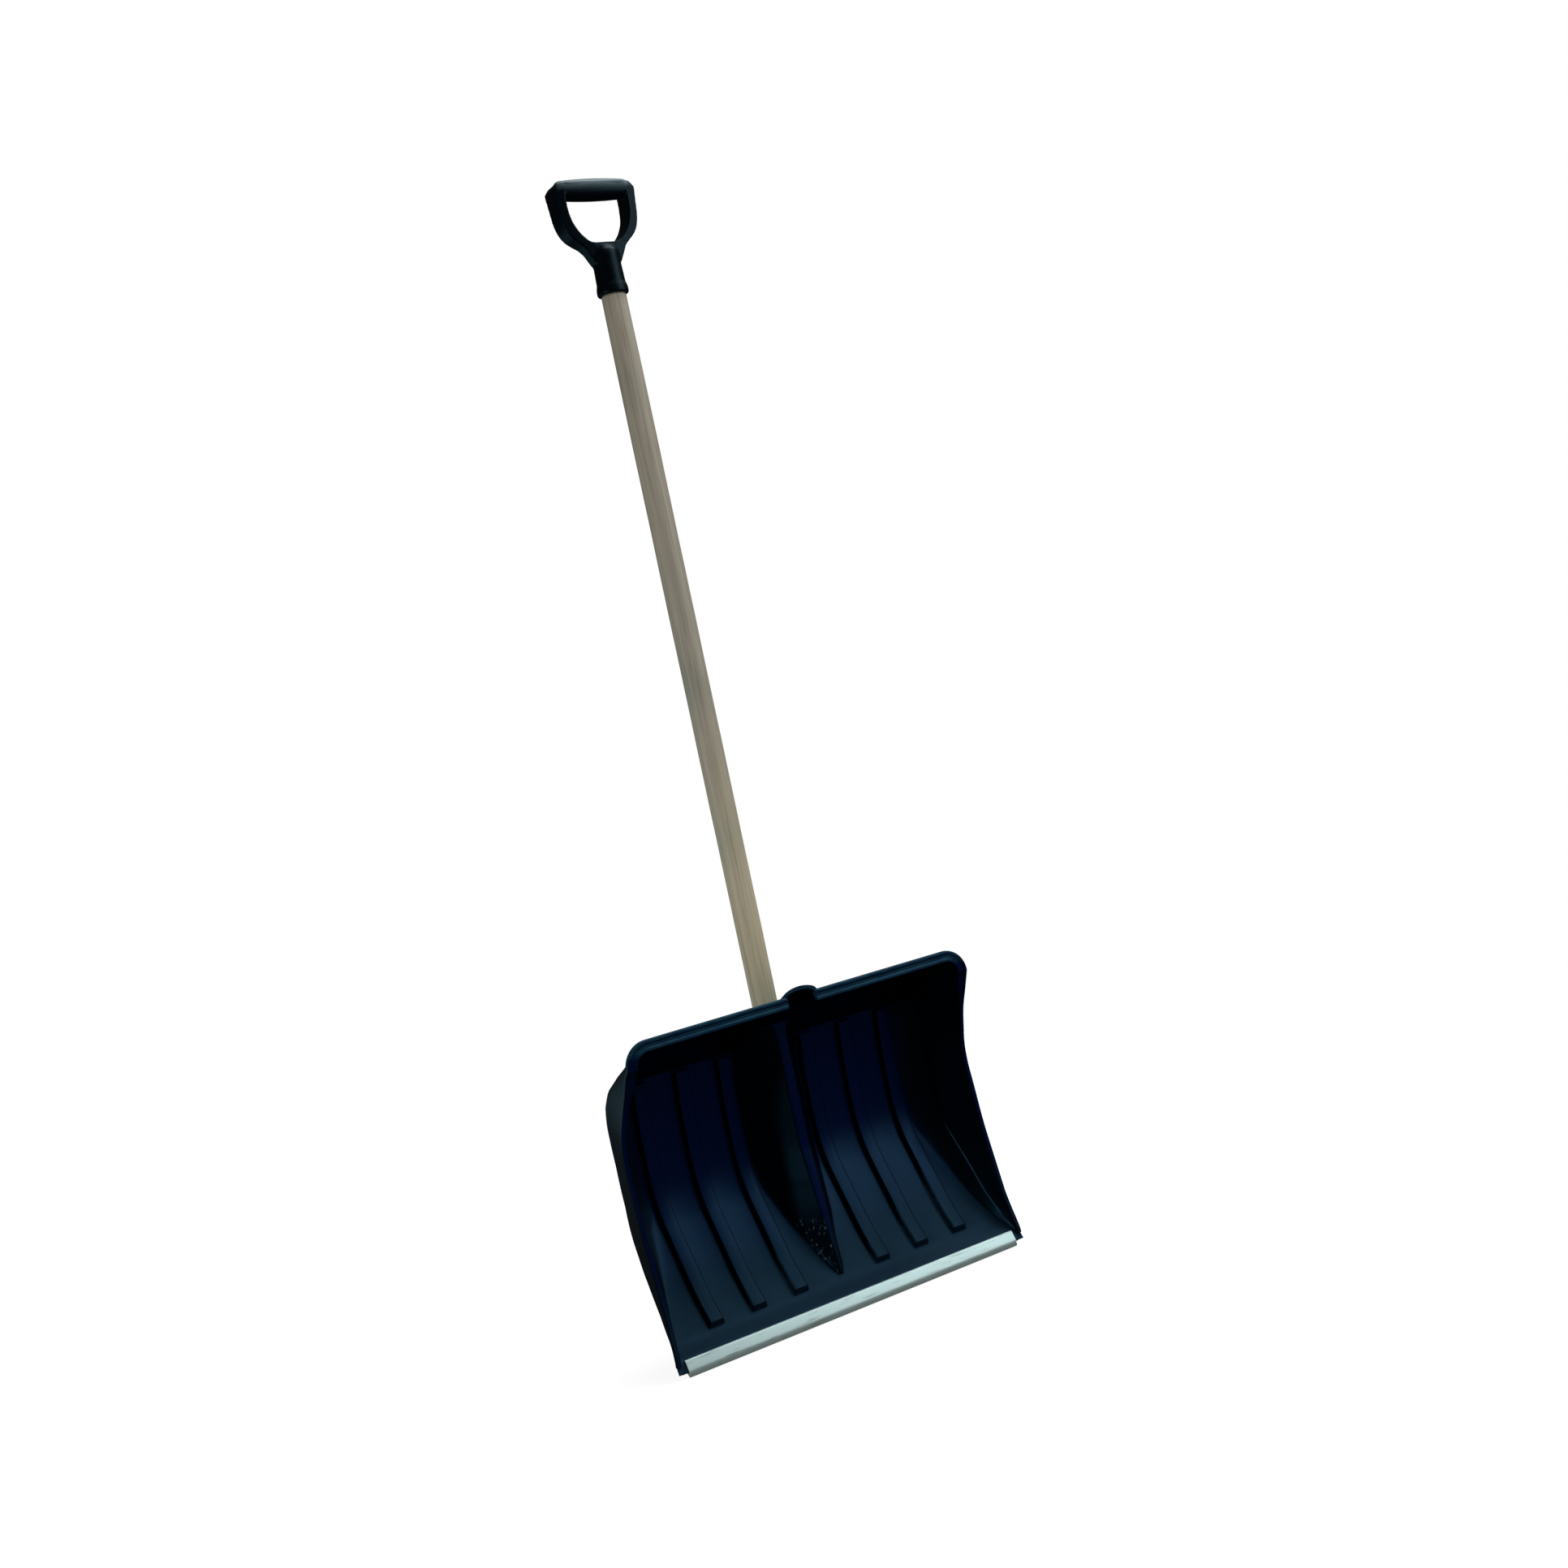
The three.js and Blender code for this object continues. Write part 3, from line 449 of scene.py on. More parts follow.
def half_row(height, back):
    """Front (back=0) or rear (back=1) of the sheet, from the middle to a wing's edge."""
    wall = back * (EDGE_PLATE if height < EDGE_PLATE_TOP else WALL)
    depth = scoop_depth(height)
    normal = scoop_normal(height)
    fill = back * smoothstep(height, HOLLOW_TOP - HOLLOW_FADE, HOLLOW_TOP + HOLLOW_FADE)

    def on_floor(x, rise=0):
        return Vector((x, depth + normal.x * (rise - wall), height + normal.y * (rise - wall)))

    # The nose stands out of the floor, with a thinner wall where it is narrow
    crest_half = table(NOSE_CREST_HALF_WIDTHS, height)
    base_half = table(NOSE_BASE_HALF_WIDTHS, height)
    nose_wall = min(wall, crest_half * 0.7)
    floor_y = on_floor(0).y
    crest_y = floor_y
    if NOSE_TIP < height < NOSE_TOP:
        crest_y = min(table(NOSE_CRESTS, height) + wall, floor_y)
        crest_y += (floor_y - crest_y) * fill
    crest_z = on_floor(0).z + (height - on_floor(0).z) * min(1, (floor_y - crest_y) / 8)
    crest_x = crest_half - nose_wall * 0.4
    corners = [
        (Vector((0, crest_y, crest_z)), 0),
        (Vector((crest_x, crest_y, crest_z)), NOSE_CREST_BEND),
        (on_floor(base_half - nose_wall), NOSE_FOOT_BEND),
    ]
    rise = bar_rise(height) * (1 - fill)
    for offset in BAR_OFFSETS:
        half = BAR_HALF_WIDTH - wall
        corners += [
            (on_floor(offset - half - BAR_DRAFT), BAR_FOOT_BEND),
            (on_floor(offset - half, rise), BAR_EDGE_BEND),
            (on_floor(offset + half, rise), BAR_EDGE_BEND),
            (on_floor(offset + half + BAR_DRAFT), BAR_FOOT_BEND),
        ]

    # The floor turns into the wing, which bends once more at its shoulder
    edge_depth = min(free_edge_depth(height), depth - 0.4)
    edge_half = free_edge_half_width(height)
    turn = min(table(TURNS, height), edge_half - FLOOR_HALF_WIDTH)
    shoulder_rise = min(table(SHOULDER_RISES, height), (depth - edge_depth) * 0.45)
    shoulder = Vector((
        edge_half - min(table(SHOULDERS, height), turn * 0.5) + wall * 0.7,
        depth - shoulder_rise - fold_softness(height) + wall * 0.7,
        height,
    ))
    corners += [
        (on_floor(edge_half - turn), 1 + turn * 0.14),
        (shoulder, table(SHOULDER_BENDS, height)),
        (Vector((edge_half + wall, edge_depth, height)), 0),
    ]
    return round_corners(corners, 4)


def mirrored(points):
    """The same points on the other side of the middle plane."""
    return [Vector((-point.x, point.y, point.z)) for point in points]


def full_row(height, back):
    """Front or rear of the sheet at one height, from the left wing to the right one."""
    right = half_row(height, back)
    return mirrored(right[1:])[::-1] + right


def row_heights():
    """Heights of the sheet's rows, closer together at the bars' ends and at the fold."""
    fold_band = 6
    levels = (
        0, BAR_FOOT, BAR_FOOT + BAR_END, HOLLOW_TOP - HOLLOW_FADE, CREASE_HEIGHT - fold_band,
        CREASE_HEIGHT + fold_band, HOOD_FRONT_HEIGHT,
    )
    heights = []
    for low, high, step in zip(levels, levels[1:], (3, 0.75, 4, 1.5, 0.75, 2.5)):
        count = max(1, round((high - low) / step))
        heights += [low + (high - low) * i / count for i in range(count)]
    return heights + [HOOD_FRONT_HEIGHT]


def scoop_sheet():
    """Floor, bars, nose, wings and hood as one sheet, lofted upwards row by row."""
    rings = [full_row(height, 0) + full_row(height, 1)[::-1] for height in row_heights()]
    return loft("blade_sheet", rings, close_in_strips=True)


# ---------------------------------------------------------------- rim
def rim_stations():
    """Centre, outward direction and half height of the rim, from a tip to the mouth."""
    stations = []
    for height in range(RIM_FOOT, math.ceil(CORNER_HEIGHT), 6):
        grow = smoothstep(height, RIM_GROWTH_HEIGHT, CORNER_HEIGHT)
        half = WING_RIM_HALF + (RIM_HEIGHT / 2 - WING_RIM_HALF) * grow
        centre = Vector((free_edge_half_width(height) + WALL / 2, free_edge_depth(height), height))
        stations.append((centre, Vector((1, 0, 0)), half))
    corner = Vector((CORNER_CENTRE, RIM_FACE + RIM_DEPTH / 2, CORNER_HEIGHT))
    arc_steps = 20
    for i in range(arc_steps + 1):
        angle = math.pi / 2 * i / arc_steps
        outward = Vector((math.cos(angle), 0, math.sin(angle)))
        stations.append((corner + outward * CORNER_REACH, outward, RIM_HEIGHT / 2))
    top = stations[-1][0]
    up = Vector((0, 0, 1))
    straight_steps = 12
    for i in range(1, straight_steps + 1):
        x = top.x + (MOUTH_HALF_WIDTH + RIM_END_RADIUS - top.x) * i / straight_steps
        stations.append((Vector((x, top.y, top.z)), up, RIM_HEIGHT / 2))
    round_steps = 5
    for i in range(1, round_steps + 1):
        angle = math.pi / 2 * i / round_steps
        x = MOUTH_HALF_WIDTH + RIM_END_RADIUS * (1 - math.sin(angle))
        half = RIM_HEIGHT / 2 - RIM_END_RADIUS * (1 - math.cos(angle))
        stations.append((Vector((x, top.y, top.z)), up, half))
    return stations


def rim_section(station):
    """Two rounded beads along a flange with a shallow groove between them."""
    centre, outward, half = station
    deep = RIM_DEPTH / 2
    groove = RIM_GROOVE * min(1, half / (RIM_HEIGHT / 2)) ** 2
    outer_side = [
        ((half, deep), 1.2), ((half, -deep), half * 0.24), ((half * 0.42, -deep), half * 0.2),
        ((half * 0.3, groove - deep), half * 0.1),
    ]
    inner_side = [((-x, y), radius) for (x, y), radius in reversed(outer_side)]
    middle = [((0, deep), 0)]
    corners = [(Vector(xy), radius) for xy, radius in middle + outer_side + inner_side + middle]
    outline = round_corners(corners, 3)[:-1]
    return [centre + outward * point.x + Vector((0, point.y, 0)) for point in outline]


def rims():
    right = [rim_section(station) for station in rim_stations()]
    left = [mirrored(ring) for ring in right]
    return [loft("rim_right", right), loft("rim_left", left)]


# ---------------------------------------------------------------- mouth and socket
def tunnel(half_width, crown, back, front):
    """Low arch under the hood in front of the handle, flat on top and round at its sides."""
    slope = (HOOD_FRONT_HEIGHT - CREASE_HEIGHT) / (CREASE_DEPTH - HOOD_FRONT_DEPTH)
    steps = 20

    def ring(depth):
        hood = CREASE_HEIGHT + (CREASE_DEPTH - depth) * slope
        points = []
        for i in range(steps + 1):
            side = -1 + 2 * i / steps
            rise = crown * (1 - 0.45 * side * side) * (1 - abs(side) ** 14 * 0.4)
            points.append(Vector((side * half_width, depth, hood + rise)))
        points.append(Vector((half_width, depth, hood - 1)))
        points.append(Vector((-half_width, depth, hood - 1)))
        return points

    return loft("tunnel", [ring(back), ring(front)])


def block(low, high):
    """Box between two opposite corners."""
    xs, ys, zs = zip(low, high)
    ring = [(xs[0], ys[0]), (xs[1], ys[0]), (xs[1], ys[1]), (xs[0], ys[1])]
    return loft("block", [[Vector((x, y, z)) for x, y in ring] for z in zs])


def socket_tube():
    profile = [
        (AXIS, SOCKET_BOTTOM), (SOCKET_OUTER_RADIUS - 2, SOCKET_BOTTOM),
        (SOCKET_OUTER_RADIUS - 0.6, SOCKET_BOTTOM + 1.5), (SOCKET_OUTER_RADIUS, SOCKET_BOTTOM + 6),
        (SOCKET_OUTER_RADIUS, SOCKET_TOP - 1.2), (SOCKET_OUTER_RADIUS - 0.4, SOCKET_TOP - 0.3),
        (SOCKET_OUTER_RADIUS - 1.1, SOCKET_TOP), (AXIS, SOCKET_TOP),
    ]
    return lathe("socket_tube", profile, ROUND_SIDES)


def rod(radius, low, high):
    return lathe("rod", [(AXIS, low), (radius, low), (radius, high), (AXIS, high)], ROUND_SIDES)


def socket_webs():
    """Cross walls that hold the socket tube inside the hollow nose."""
    webs = []
    for height in WEB_HEIGHTS:
        crest = table(NOSE_CRESTS, height)
        crest_half = table(NOSE_CREST_HALF_WIDTHS, height)
        base_half = table(NOSE_BASE_HALF_WIDTHS, height)
        floor = scoop_depth(height)
        inset = WALL * 0.4
        slope = (WEB_FRONT - crest) / (floor - crest)
        front_half = crest_half + (base_half - crest_half) * slope - inset
        rear_half = base_half - inset
        rear = floor + WALL - 0.5
        corners = [
            (-front_half, WEB_FRONT), (front_half, WEB_FRONT), (rear_half, rear), (-rear_half, rear),
        ]
        levels = (height - WEB_THICKNESS / 2, height + WEB_THICKNESS / 2)
        webs.append(loft("web", [[Vector((x, y, z)) for x, y in corners] for z in levels]))
    return webs


def screw_hole(direction, place, screw):
    """Clearance hole for a screw, open behind its head."""
    radius = screw[0] + GAP
    end = -screw[3] - 1
    clear = 40
    profile = [(AXIS, end), (radius, end), (radius, clear), (AXIS, clear)]
    return lathe("hole", profile, 32, direction, place)


def edge_point(back, up):
    """Depth and height of a point that lies so far behind and above the tilted lip's foot."""
    y = EDGE_DEPTH + back * math.cos(EDGE_TILT) + up * math.sin(EDGE_TILT)
    z = -back * math.sin(EDGE_TILT) + up * math.cos(EDGE_TILT)
    return y, z


def edge_screw_places():
    y, z = edge_point(STRIP_BACK + GAP, EDGE_SCREW_HEIGHT)
    return [Vector((x, y, z)) for x in EDGE_SCREW_OFFSETS]


def socket_screw_place(height):
    return Vector((0, SOCKET_OUTER_RADIUS + GAP, height))


def grip_screw_place():
    return Vector((0, COLLAR_RADIUS + GAP, GRIP_SCREW_HEIGHT))


def socket_screw_holes():
    heights = SOCKET_SCREW_HEIGHTS.values()
    return [screw_hole(BACKWARDS, socket_screw_place(height), WOOD_SCREW) for height in heights]


def edge_screw_holes():
    return [screw_hole(EDGE_BACKWARDS, place, EDGE_SCREW) for place in edge_screw_places()]


def grip_screw_hole():
    return screw_hole(BACKWARDS, grip_screw_place(), WOOD_SCREW)


def make_blade():
    """One moulding: sheet with bars and nose, rims, and the handle's socket behind."""
    blade = scoop_sheet()
    blade.name = "moulded_blade"
    combine(blade, rims() + [socket_tube()] + socket_webs(), "UNION")
    lining_half, lining_crown = MOUTH_HALF_WIDTH + MOUTH_LINING, MOUTH_CROWN + MOUTH_LINING
    combine(blade, [tunnel(lining_half, lining_crown, MOUTH_BACK + 1, MOUTH_FRONT)], "UNION")
    mouth = tunnel(MOUTH_HALF_WIDTH, MOUTH_CROWN, MOUTH_BACK, MOUTH_FRONT - 20)
    notch = block(
        (-MOUTH_HALF_WIDTH, RIM_FACE - 5, RIM_TOP - RIM_HEIGHT - 3),
        (MOUTH_HALF_WIDTH, MOUTH_NOTCH_BACK, RIM_TOP - 4),
    )
    cuts = [mouth, notch, rod(HANDLE_RADIUS + GAP, HANDLE_BOTTOM - GAP, SOCKET_TOP + 40)]
    cuts += socket_screw_holes() + edge_screw_holes()
    combine(blade, cuts, "DIFFERENCE")
    shade(blade, 35)
    return blade


# ---------------------------------------------------------------- wear strip
def make_strip():
    """Extruded channel: front flange with a bevelled top, rounded nose, rear flange."""
    front = -GAP - STRIP_WALL
    flat_front = (EDGE_PLATE - STRIP_FLAT) / 2
    flat_back = flat_front + STRIP_FLAT
    corners = [
        (Vector((EDGE_PLATE / 2, -STRIP_NOSE)), 0),
        (Vector((flat_front, -STRIP_NOSE)), 1.2),
        (Vector((front, -0.6)), 2.6),
        (Vector((front, STRIP_FRONT_HEIGHT - 1.4)), 0.5),
        (Vector((front + 1.0, STRIP_FRONT_HEIGHT)), 0.4),
        (Vector((-GAP, STRIP_FRONT_HEIGHT)), 0.25),
        (Vector((-GAP, -GAP)), 0.3),
        (Vector((EDGE_PLATE + GAP, -GAP)), 0.3),
        (Vector((EDGE_PLATE + GAP, STRIP_BACK_HEIGHT)), 0.25),
        (Vector((STRIP_BACK, STRIP_BACK_HEIGHT)), 0.6),
        (Vector((STRIP_BACK, 0.8)), 2.6),
        (Vector((flat_back, -STRIP_NOSE)), 1.2),
        (Vector((EDGE_PLATE / 2, -STRIP_NOSE)), 0),
    ]
    outline = round_corners(corners, 5)[:-1]
    rings = []
    steps = 40
    for i in range(steps + 1):
        x = STRIP_HALF_LENGTH * (2 * i / steps - 1)
        ring = []
        for point in outline:
            y, z = edge_point(point.x, point.y)
            ring.append(Vector((x, y, z)))
        rings.append(ring)
    strip = loft("wear_strip_channel", rings)
    combine(strip, edge_screw_holes(), "DIFFERENCE")
    shade(strip, 30)
    return strip


# ---------------------------------------------------------------- handle
def make_handle():
    """Round dowel, planed slightly uneven, thinner at the grip and turned down inside it."""
    taper = 90  # length over which the handle narrows below the grip
    profile = [
        (AXIS, HANDLE_BOTTOM), (HANDLE_RADIUS - 3, HANDLE_BOTTOM),
        (HANDLE_RADIUS - 0.8, HANDLE_BOTTOM + 2), (HANDLE_RADIUS, HANDLE_BOTTOM + 3.4),
    ]
    steps = 60
    low = HANDLE_BOTTOM + 4
    high = COLLAR_BOTTOM - taper
    for i in range(steps + 1):
        height = low + (high - low) * i / steps
        planed = 0.07 * math.sin(height * 0.031) + 0.04 * math.sin(height * 0.083 + 1)
        profile.append((HANDLE_RADIUS - 0.12 + planed, height))
    profile += [
        (HANDLE_TOP_RADIUS, COLLAR_BOTTOM - 1.5), (TENON_RADIUS, COLLAR_BOTTOM - GAP),
        (TENON_RADIUS, HANDLE_TOP - 3.4), (TENON_RADIUS - 0.8, HANDLE_TOP - 2),
        (TENON_RADIUS - 3, HANDLE_TOP), (AXIS, HANDLE_TOP),
    ]
    handle = lathe("ash_handle", profile, ROUND_SIDES)
    combine(handle, socket_screw_holes() + [grip_screw_hole()], "DIFFERENCE")
    shade(handle, 40)
    return handle


# ---------------------------------------------------------------- D-grip
def grip_frame():
    """Both arms and the web under the opening, deeper towards the top."""
    outer = [(0, GRIP_TOP), (GRIP_TOP_HALF_WIDTH, GRIP_TOP), (GRIP_HALF_WIDTH, BAR_CENTRE_HEIGHT)]
    outer += smooth_table(ARM_OUTSIDE, 5)
    outer += [
        (GUSSET_HALF_WIDTH, GUSSET_HEIGHT), (COLLAR_NECK_RADIUS - 1, GUSSET_FOOT), (0, GUSSET_FOOT),
    ]
    inner = smooth_table(OPENING_SIDE, 5)
    inner += [(OPENING_SIDE[-1][0], BAR_CENTRE_HEIGHT), (0, BAR_CENTRE_HEIGHT)]
    solids = []
    for points, spare in ((outer, 0), (inner, 30)):
        ring = points + [(-x, z) for x, z in reversed(points)][1:-1]
        depths = (GRIP_FRONT - spare, GRIP_BACK + spare)
        solids.append(loft("grip_frame", [[Vector((x, y, z)) for x, z in ring] for y in depths]))
    combine(solids[0], [solids[1]], "DIFFERENCE")
    return shaped_in_depth(solids[0], outer)


def shaped_in_depth(frame_solid, outer):
    """Slope the arms' front away towards their outer side, and slim the web downwards."""
    voxel_skin(frame_solid)
    places = []
    corners = [Vector(point) for point in outer[1:-1]]
    for start, end in zip(corners, corners[1:]):
        steps = max(1, round((end - start).length))
        places += [start.lerp(end, i / steps) for i in range(steps)]
    tree = kdtree.KDTree(len(places))
    for i, place in enumerate(places):
        tree.insert((place.x, 0, place.y), i)
    tree.balance()
    for vertex in frame_solid.data.vertices:
        height = (vertex.co.z - BASE) / MM
        inwards = tree.find(Vector((abs(vertex.co.x) / MM, 0, height)))[2] / ARM_TAPER_WIDTH
        if vertex.co.y < 0:
            vertex.co.y *= ARM_OUTER_THINNESS + (1 - ARM_OUTER_THINNESS) * min(inwards, 1)
            vertex.co.y *= 1 - (GRIP_TOP - height) / FRONT_TAPER_HEIGHT
        else:
            deeper = smoothstep(height, WEB_BACK_LOW, WEB_BACK_HIGH)
            vertex.co.y *= WEB_BACK_THINNESS + (1 - WEB_BACK_THINNESS) * deeper
    return frame_solid


def voxel_skin(solid):
    """Even fine skin over a solid, so that it can be shaped and smoothed."""
    modifier = solid.modifiers.new("skin", "REMESH")
    modifier.mode = "VOXEL"
    modifier.voxel_size = SKIN_VOXEL * MM
    apply_modifiers(solid)


def hand_bar():
    """Barrel-shaped bar across the top, thickest in the middle."""
    end = GRIP_TOP_HALF_WIDTH - 0.5
    profile = [(AXIS, -end), (BAR_END_RADIUS - 3.5, -end), (BAR_END_RADIUS - 1, -end + 1.5)]
    steps = 24
    for i in range(steps + 1):
        x = (end - 5) * (2 * i / steps - 1)
        radius = BAR_END_RADIUS + (BAR_RADIUS - BAR_END_RADIUS) * (1 - (x / end) ** 2)
        profile.append((radius, x))
    profile += [(BAR_END_RADIUS - 1, end - 1.5), (BAR_END_RADIUS - 3.5, end), (AXIS, end)]
    return lathe("hand_bar", profile, 64, (1, 0, 0), (0, 0, BAR_CENTRE_HEIGHT))


def collar():
    """Round collar with a bead at its foot, where the handle goes in."""
    profile = [
        (AXIS, COLLAR_BOTTOM), (COLLAR_BEAD_RADIUS - 1.6, COLLAR_BOTTOM),
        (COLLAR_BEAD_RADIUS - 0.3, COLLAR_BOTTOM + 1), (COLLAR_BEAD_RADIUS, COLLAR_BOTTOM + 2.5),
        (COLLAR_BEAD_RADIUS, COLLAR_BOTTOM + 7), (COLLAR_BEAD_RADIUS - 0.5, COLLAR_BOTTOM + 10),
        (COLLAR_RADIUS + 0.2, COLLAR_BOTTOM + 14), (COLLAR_RADIUS, COLLAR_BOTTOM + 24),
        (COLLAR_NECK_RADIUS, COLLAR_BOTTOM + 36), (COLLAR_NECK_RADIUS, COLLAR_TOP - 8),
        (COLLAR_NECK_RADIUS - 1.2, COLLAR_TOP - 3), (COLLAR_NECK_RADIUS - 5, COLLAR_TOP + 3),
        (AXIS, COLLAR_TOP + 5),
    ]
    return lathe("collar", profile, ROUND_SIDES)


def make_grip():
    """One moulding: arms, hand bar and collar melted together with soft edges."""
    grip = grip_frame()
    grip.name = "moulded_d_grip"
    combine(grip, [hand_bar(), collar()], "UNION")
    voxel_skin(grip)
    modifier = grip.modifiers.new("soften", "SMOOTH")
    modifier.factor = 0.5
    modifier.iterations = SKIN_SOFTENING
    apply_modifiers(grip)
    bore = rod(TENON_RADIUS + GAP, COLLAR_BOTTOM - 5, HANDLE_TOP + GAP)
    combine(grip, [bore, grip_screw_hole()], "DIFFERENCE")
    shade(grip, 45)
    return grip


# ---------------------------------------------------------------- screws
def make_screw(name, direction, place, screw_size):
    """Pan-head screw with a cross recess and a coarse thread."""
    shank, head, head_height, length = screw_size
    core = shank * 0.8
    tip = shank * 1.4
    profile = [(AXIS, -length)]
    for i in range(int((length - tip) / THREAD_PITCH)):
        root = -length + tip + THREAD_PITCH * i
        profile += [(core, root), (shank, root + THREAD_PITCH * 0.45), (core, root + THREAD_PITCH * 0.8)]
    profile += [(core, -0.6), (shank, -0.05), (head * 0.97, 0), (head, head_height * 0.12)]
    dome_steps = 8
    for i in range(dome_steps + 1):
        angle = math.pi / 2 * i / dome_steps
        radius = max(head * math.cos(angle) ** 0.7, AXIS)
        profile.append((radius, head_height * (0.35 + 0.65 * math.sin(angle))))
    screw = lathe(name, profile, 40, direction, place)
    axis = direction.normalized()
    side = axis.orthogonal().normalized()
    other = axis.cross(side)
    slot = head * 0.55
    thin = head * 0.13
    for long_way, short_way in ((side, other), (other, side)):
        rings = []
        for height, grow in ((head_height * 0.4, 0.55), (head_height + 0.5, 1.0)):
            ring = []
            for a, b in ((-1, -1), (1, -1), (1, 1), (-1, 1)):
                corner = long_way * slot * a * grow + short_way * thin * b
                ring.append(place + corner + axis * height)
            rings.append(ring)
        combine(screw, [loft("recess", rings)], "DIFFERENCE")
    shade(screw, 35)
    return screw


def make_screws():
    """Every screw, by the name of its node in the frame."""
    screws = {}
    for i, place in enumerate(edge_screw_places()):
        screws[f"edge_screw_{i + 1}"] = (EDGE_BACKWARDS, place, EDGE_SCREW)
    for node, height in SOCKET_SCREW_HEIGHTS.items():
        screws[node] = (BACKWARDS, socket_screw_place(height), WOOD_SCREW)
    screws["grip_screw"] = (BACKWARDS, grip_screw_place(), WOOD_SCREW)
    return {node: make_screw("steel_" + node, *facts) for node, facts in screws.items()}


# ---------------------------------------------------------------- materials
class Nodes:
    """Short hand for building a material's node tree."""

    def __init__(self, name):
        self.material = bpy.data.materials.new(name)
        self.material.use_nodes = True
        self.tree = self.material.node_tree
        self.shader = self.tree.nodes["Principled BSDF"]

    def add(self, kind, **settings):
        node = self.tree.nodes.new(kind)
        for key, value in settings.items():
            setattr(node, key, value)
        return node

    def feed(self, socket, value):
        """Give a socket a number, a colour, or another node's output."""
        if isinstance(value, (int, float)):
            socket.default_value = value
        elif isinstance(value, tuple):
            socket.default_value = (*value, 1)
        else:
            self.tree.links.new(value, socket)

    def position(self, axis):
        """One of the surface's own coordinates in metres."""
        texture = self.add("ShaderNodeTexCoord")
        split = self.add("ShaderNodeSeparateXYZ")
        self.feed(split.inputs[0], texture.outputs["Object"])
        return split.outputs[axis]

    def facing(self, axis):
        """One component of the surface's own direction."""
        geometry = self.add("ShaderNodeNewGeometry")
        split = self.add("ShaderNodeSeparateXYZ")
        self.feed(split.inputs[0], geometry.outputs["Normal"])
        return split.outputs[axis]

    def noise(self, scale, detail, roughness, size=1.0):
        """Noise over the surface's own coordinates, squeezed along each axis by scale."""
        texture = self.add("ShaderNodeTexCoord")
        mapping = self.add("ShaderNodeMapping")
        mapping.inputs["Scale"].default_value = scale
        self.feed(mapping.inputs["Vector"], texture.outputs["Object"])
        node = self.add("ShaderNodeTexNoise")
        self.feed(node.inputs["Vector"], mapping.outputs["Vector"])
        self.feed(node.inputs["Scale"], size)
        self.feed(node.inputs["Detail"], detail)
        self.feed(node.inputs["Roughness"], roughness)
        return node.outputs["Fac"]

    def ramp(self, factor, stops):
        """Colours at given positions of a factor; a single number stands for a grey."""
        node = self.add("ShaderNodeValToRGB")
        elements = node.color_ramp.elements
        while len(elements) < len(stops):
            elements.new(0.5)
        for element, (position, value) in zip(elements, stops):
            element.position = position
            element.color = (*value, 1) if isinstance(value, tuple) else (value, value, value, 1)
        self.feed(node.inputs["Fac"], factor)
        return node.outputs["Color"]

    def mix(self, factor, first, second, blend="MIX"):
        node = self.add("ShaderNodeMix", data_type="RGBA", blend_type=blend)
        self.feed(node.inputs[0], factor)
        self.feed(node.inputs[6], first)
        self.feed(node.inputs[7], second)
        return node.outputs[2]

    def math(self, operation, first, second=0.0):
        node = self.add("ShaderNodeMath", operation=operation)
        self.feed(node.inputs[0], first)
        self.feed(node.inputs[1], second)
        return node.outputs[0]

    def product(self, first, *others):
        for other in others:
            first = self.math("MULTIPLY", first, other)
        return first

    def scaled(self, value, factor, offset):
        return self.math("ADD", self.product(value, factor), offset)

    def fade(self, value, zero_at, one_at):
        """Soft step from 0 to 1 between two values, in either direction."""
        node = self.add("ShaderNodeMapRange", interpolation_type="SMOOTHSTEP")
        self.feed(node.inputs["Value"], value)
        self.feed(node.inputs["From Min"], zero_at)
        self.feed(node.inputs["From Max"], one_at)
        return node.outputs["Result"]

    def fade_over(self, axis, bounds):
        """Soft step between two heights (axis Z) or depths (axis Y) in millimetres."""
        start = BASE if axis == "Z" else 0
        return self.fade(self.position(axis), *[start + bound * MM for bound in bounds])

    def fade_from_middle(self, bounds):
        """Soft step between two distances from the middle plane in millimetres."""
        distance = self.math("ABSOLUTE", self.position("X"))
        return self.fade(distance, *[bound * MM for bound in bounds])

    def bump(self, height, distance, strength, under=None):
        node = self.add("ShaderNodeBump")
        self.feed(node.inputs["Distance"], distance)
        self.feed(node.inputs["Strength"], strength)
        self.feed(node.inputs["Height"], height)
        if under is not None:
            self.feed(node.inputs["Normal"], under)
        return node.outputs["Normal"]

    def finish(self, color, roughness, normal, metallic=0.0, **uniform):
        """Connect the shader; the uniform values are set on its own sockets."""
        self.feed(self.shader.inputs["Base Color"], color)
        self.feed(self.shader.inputs["Roughness"], roughness)
        self.feed(self.shader.inputs["Normal"], normal)
        self.feed(self.shader.inputs["Metallic"], metallic)
        for name, value in uniform.items():
            self.feed(self.shader.inputs[name.replace("_", " ")], value)
        return self.material


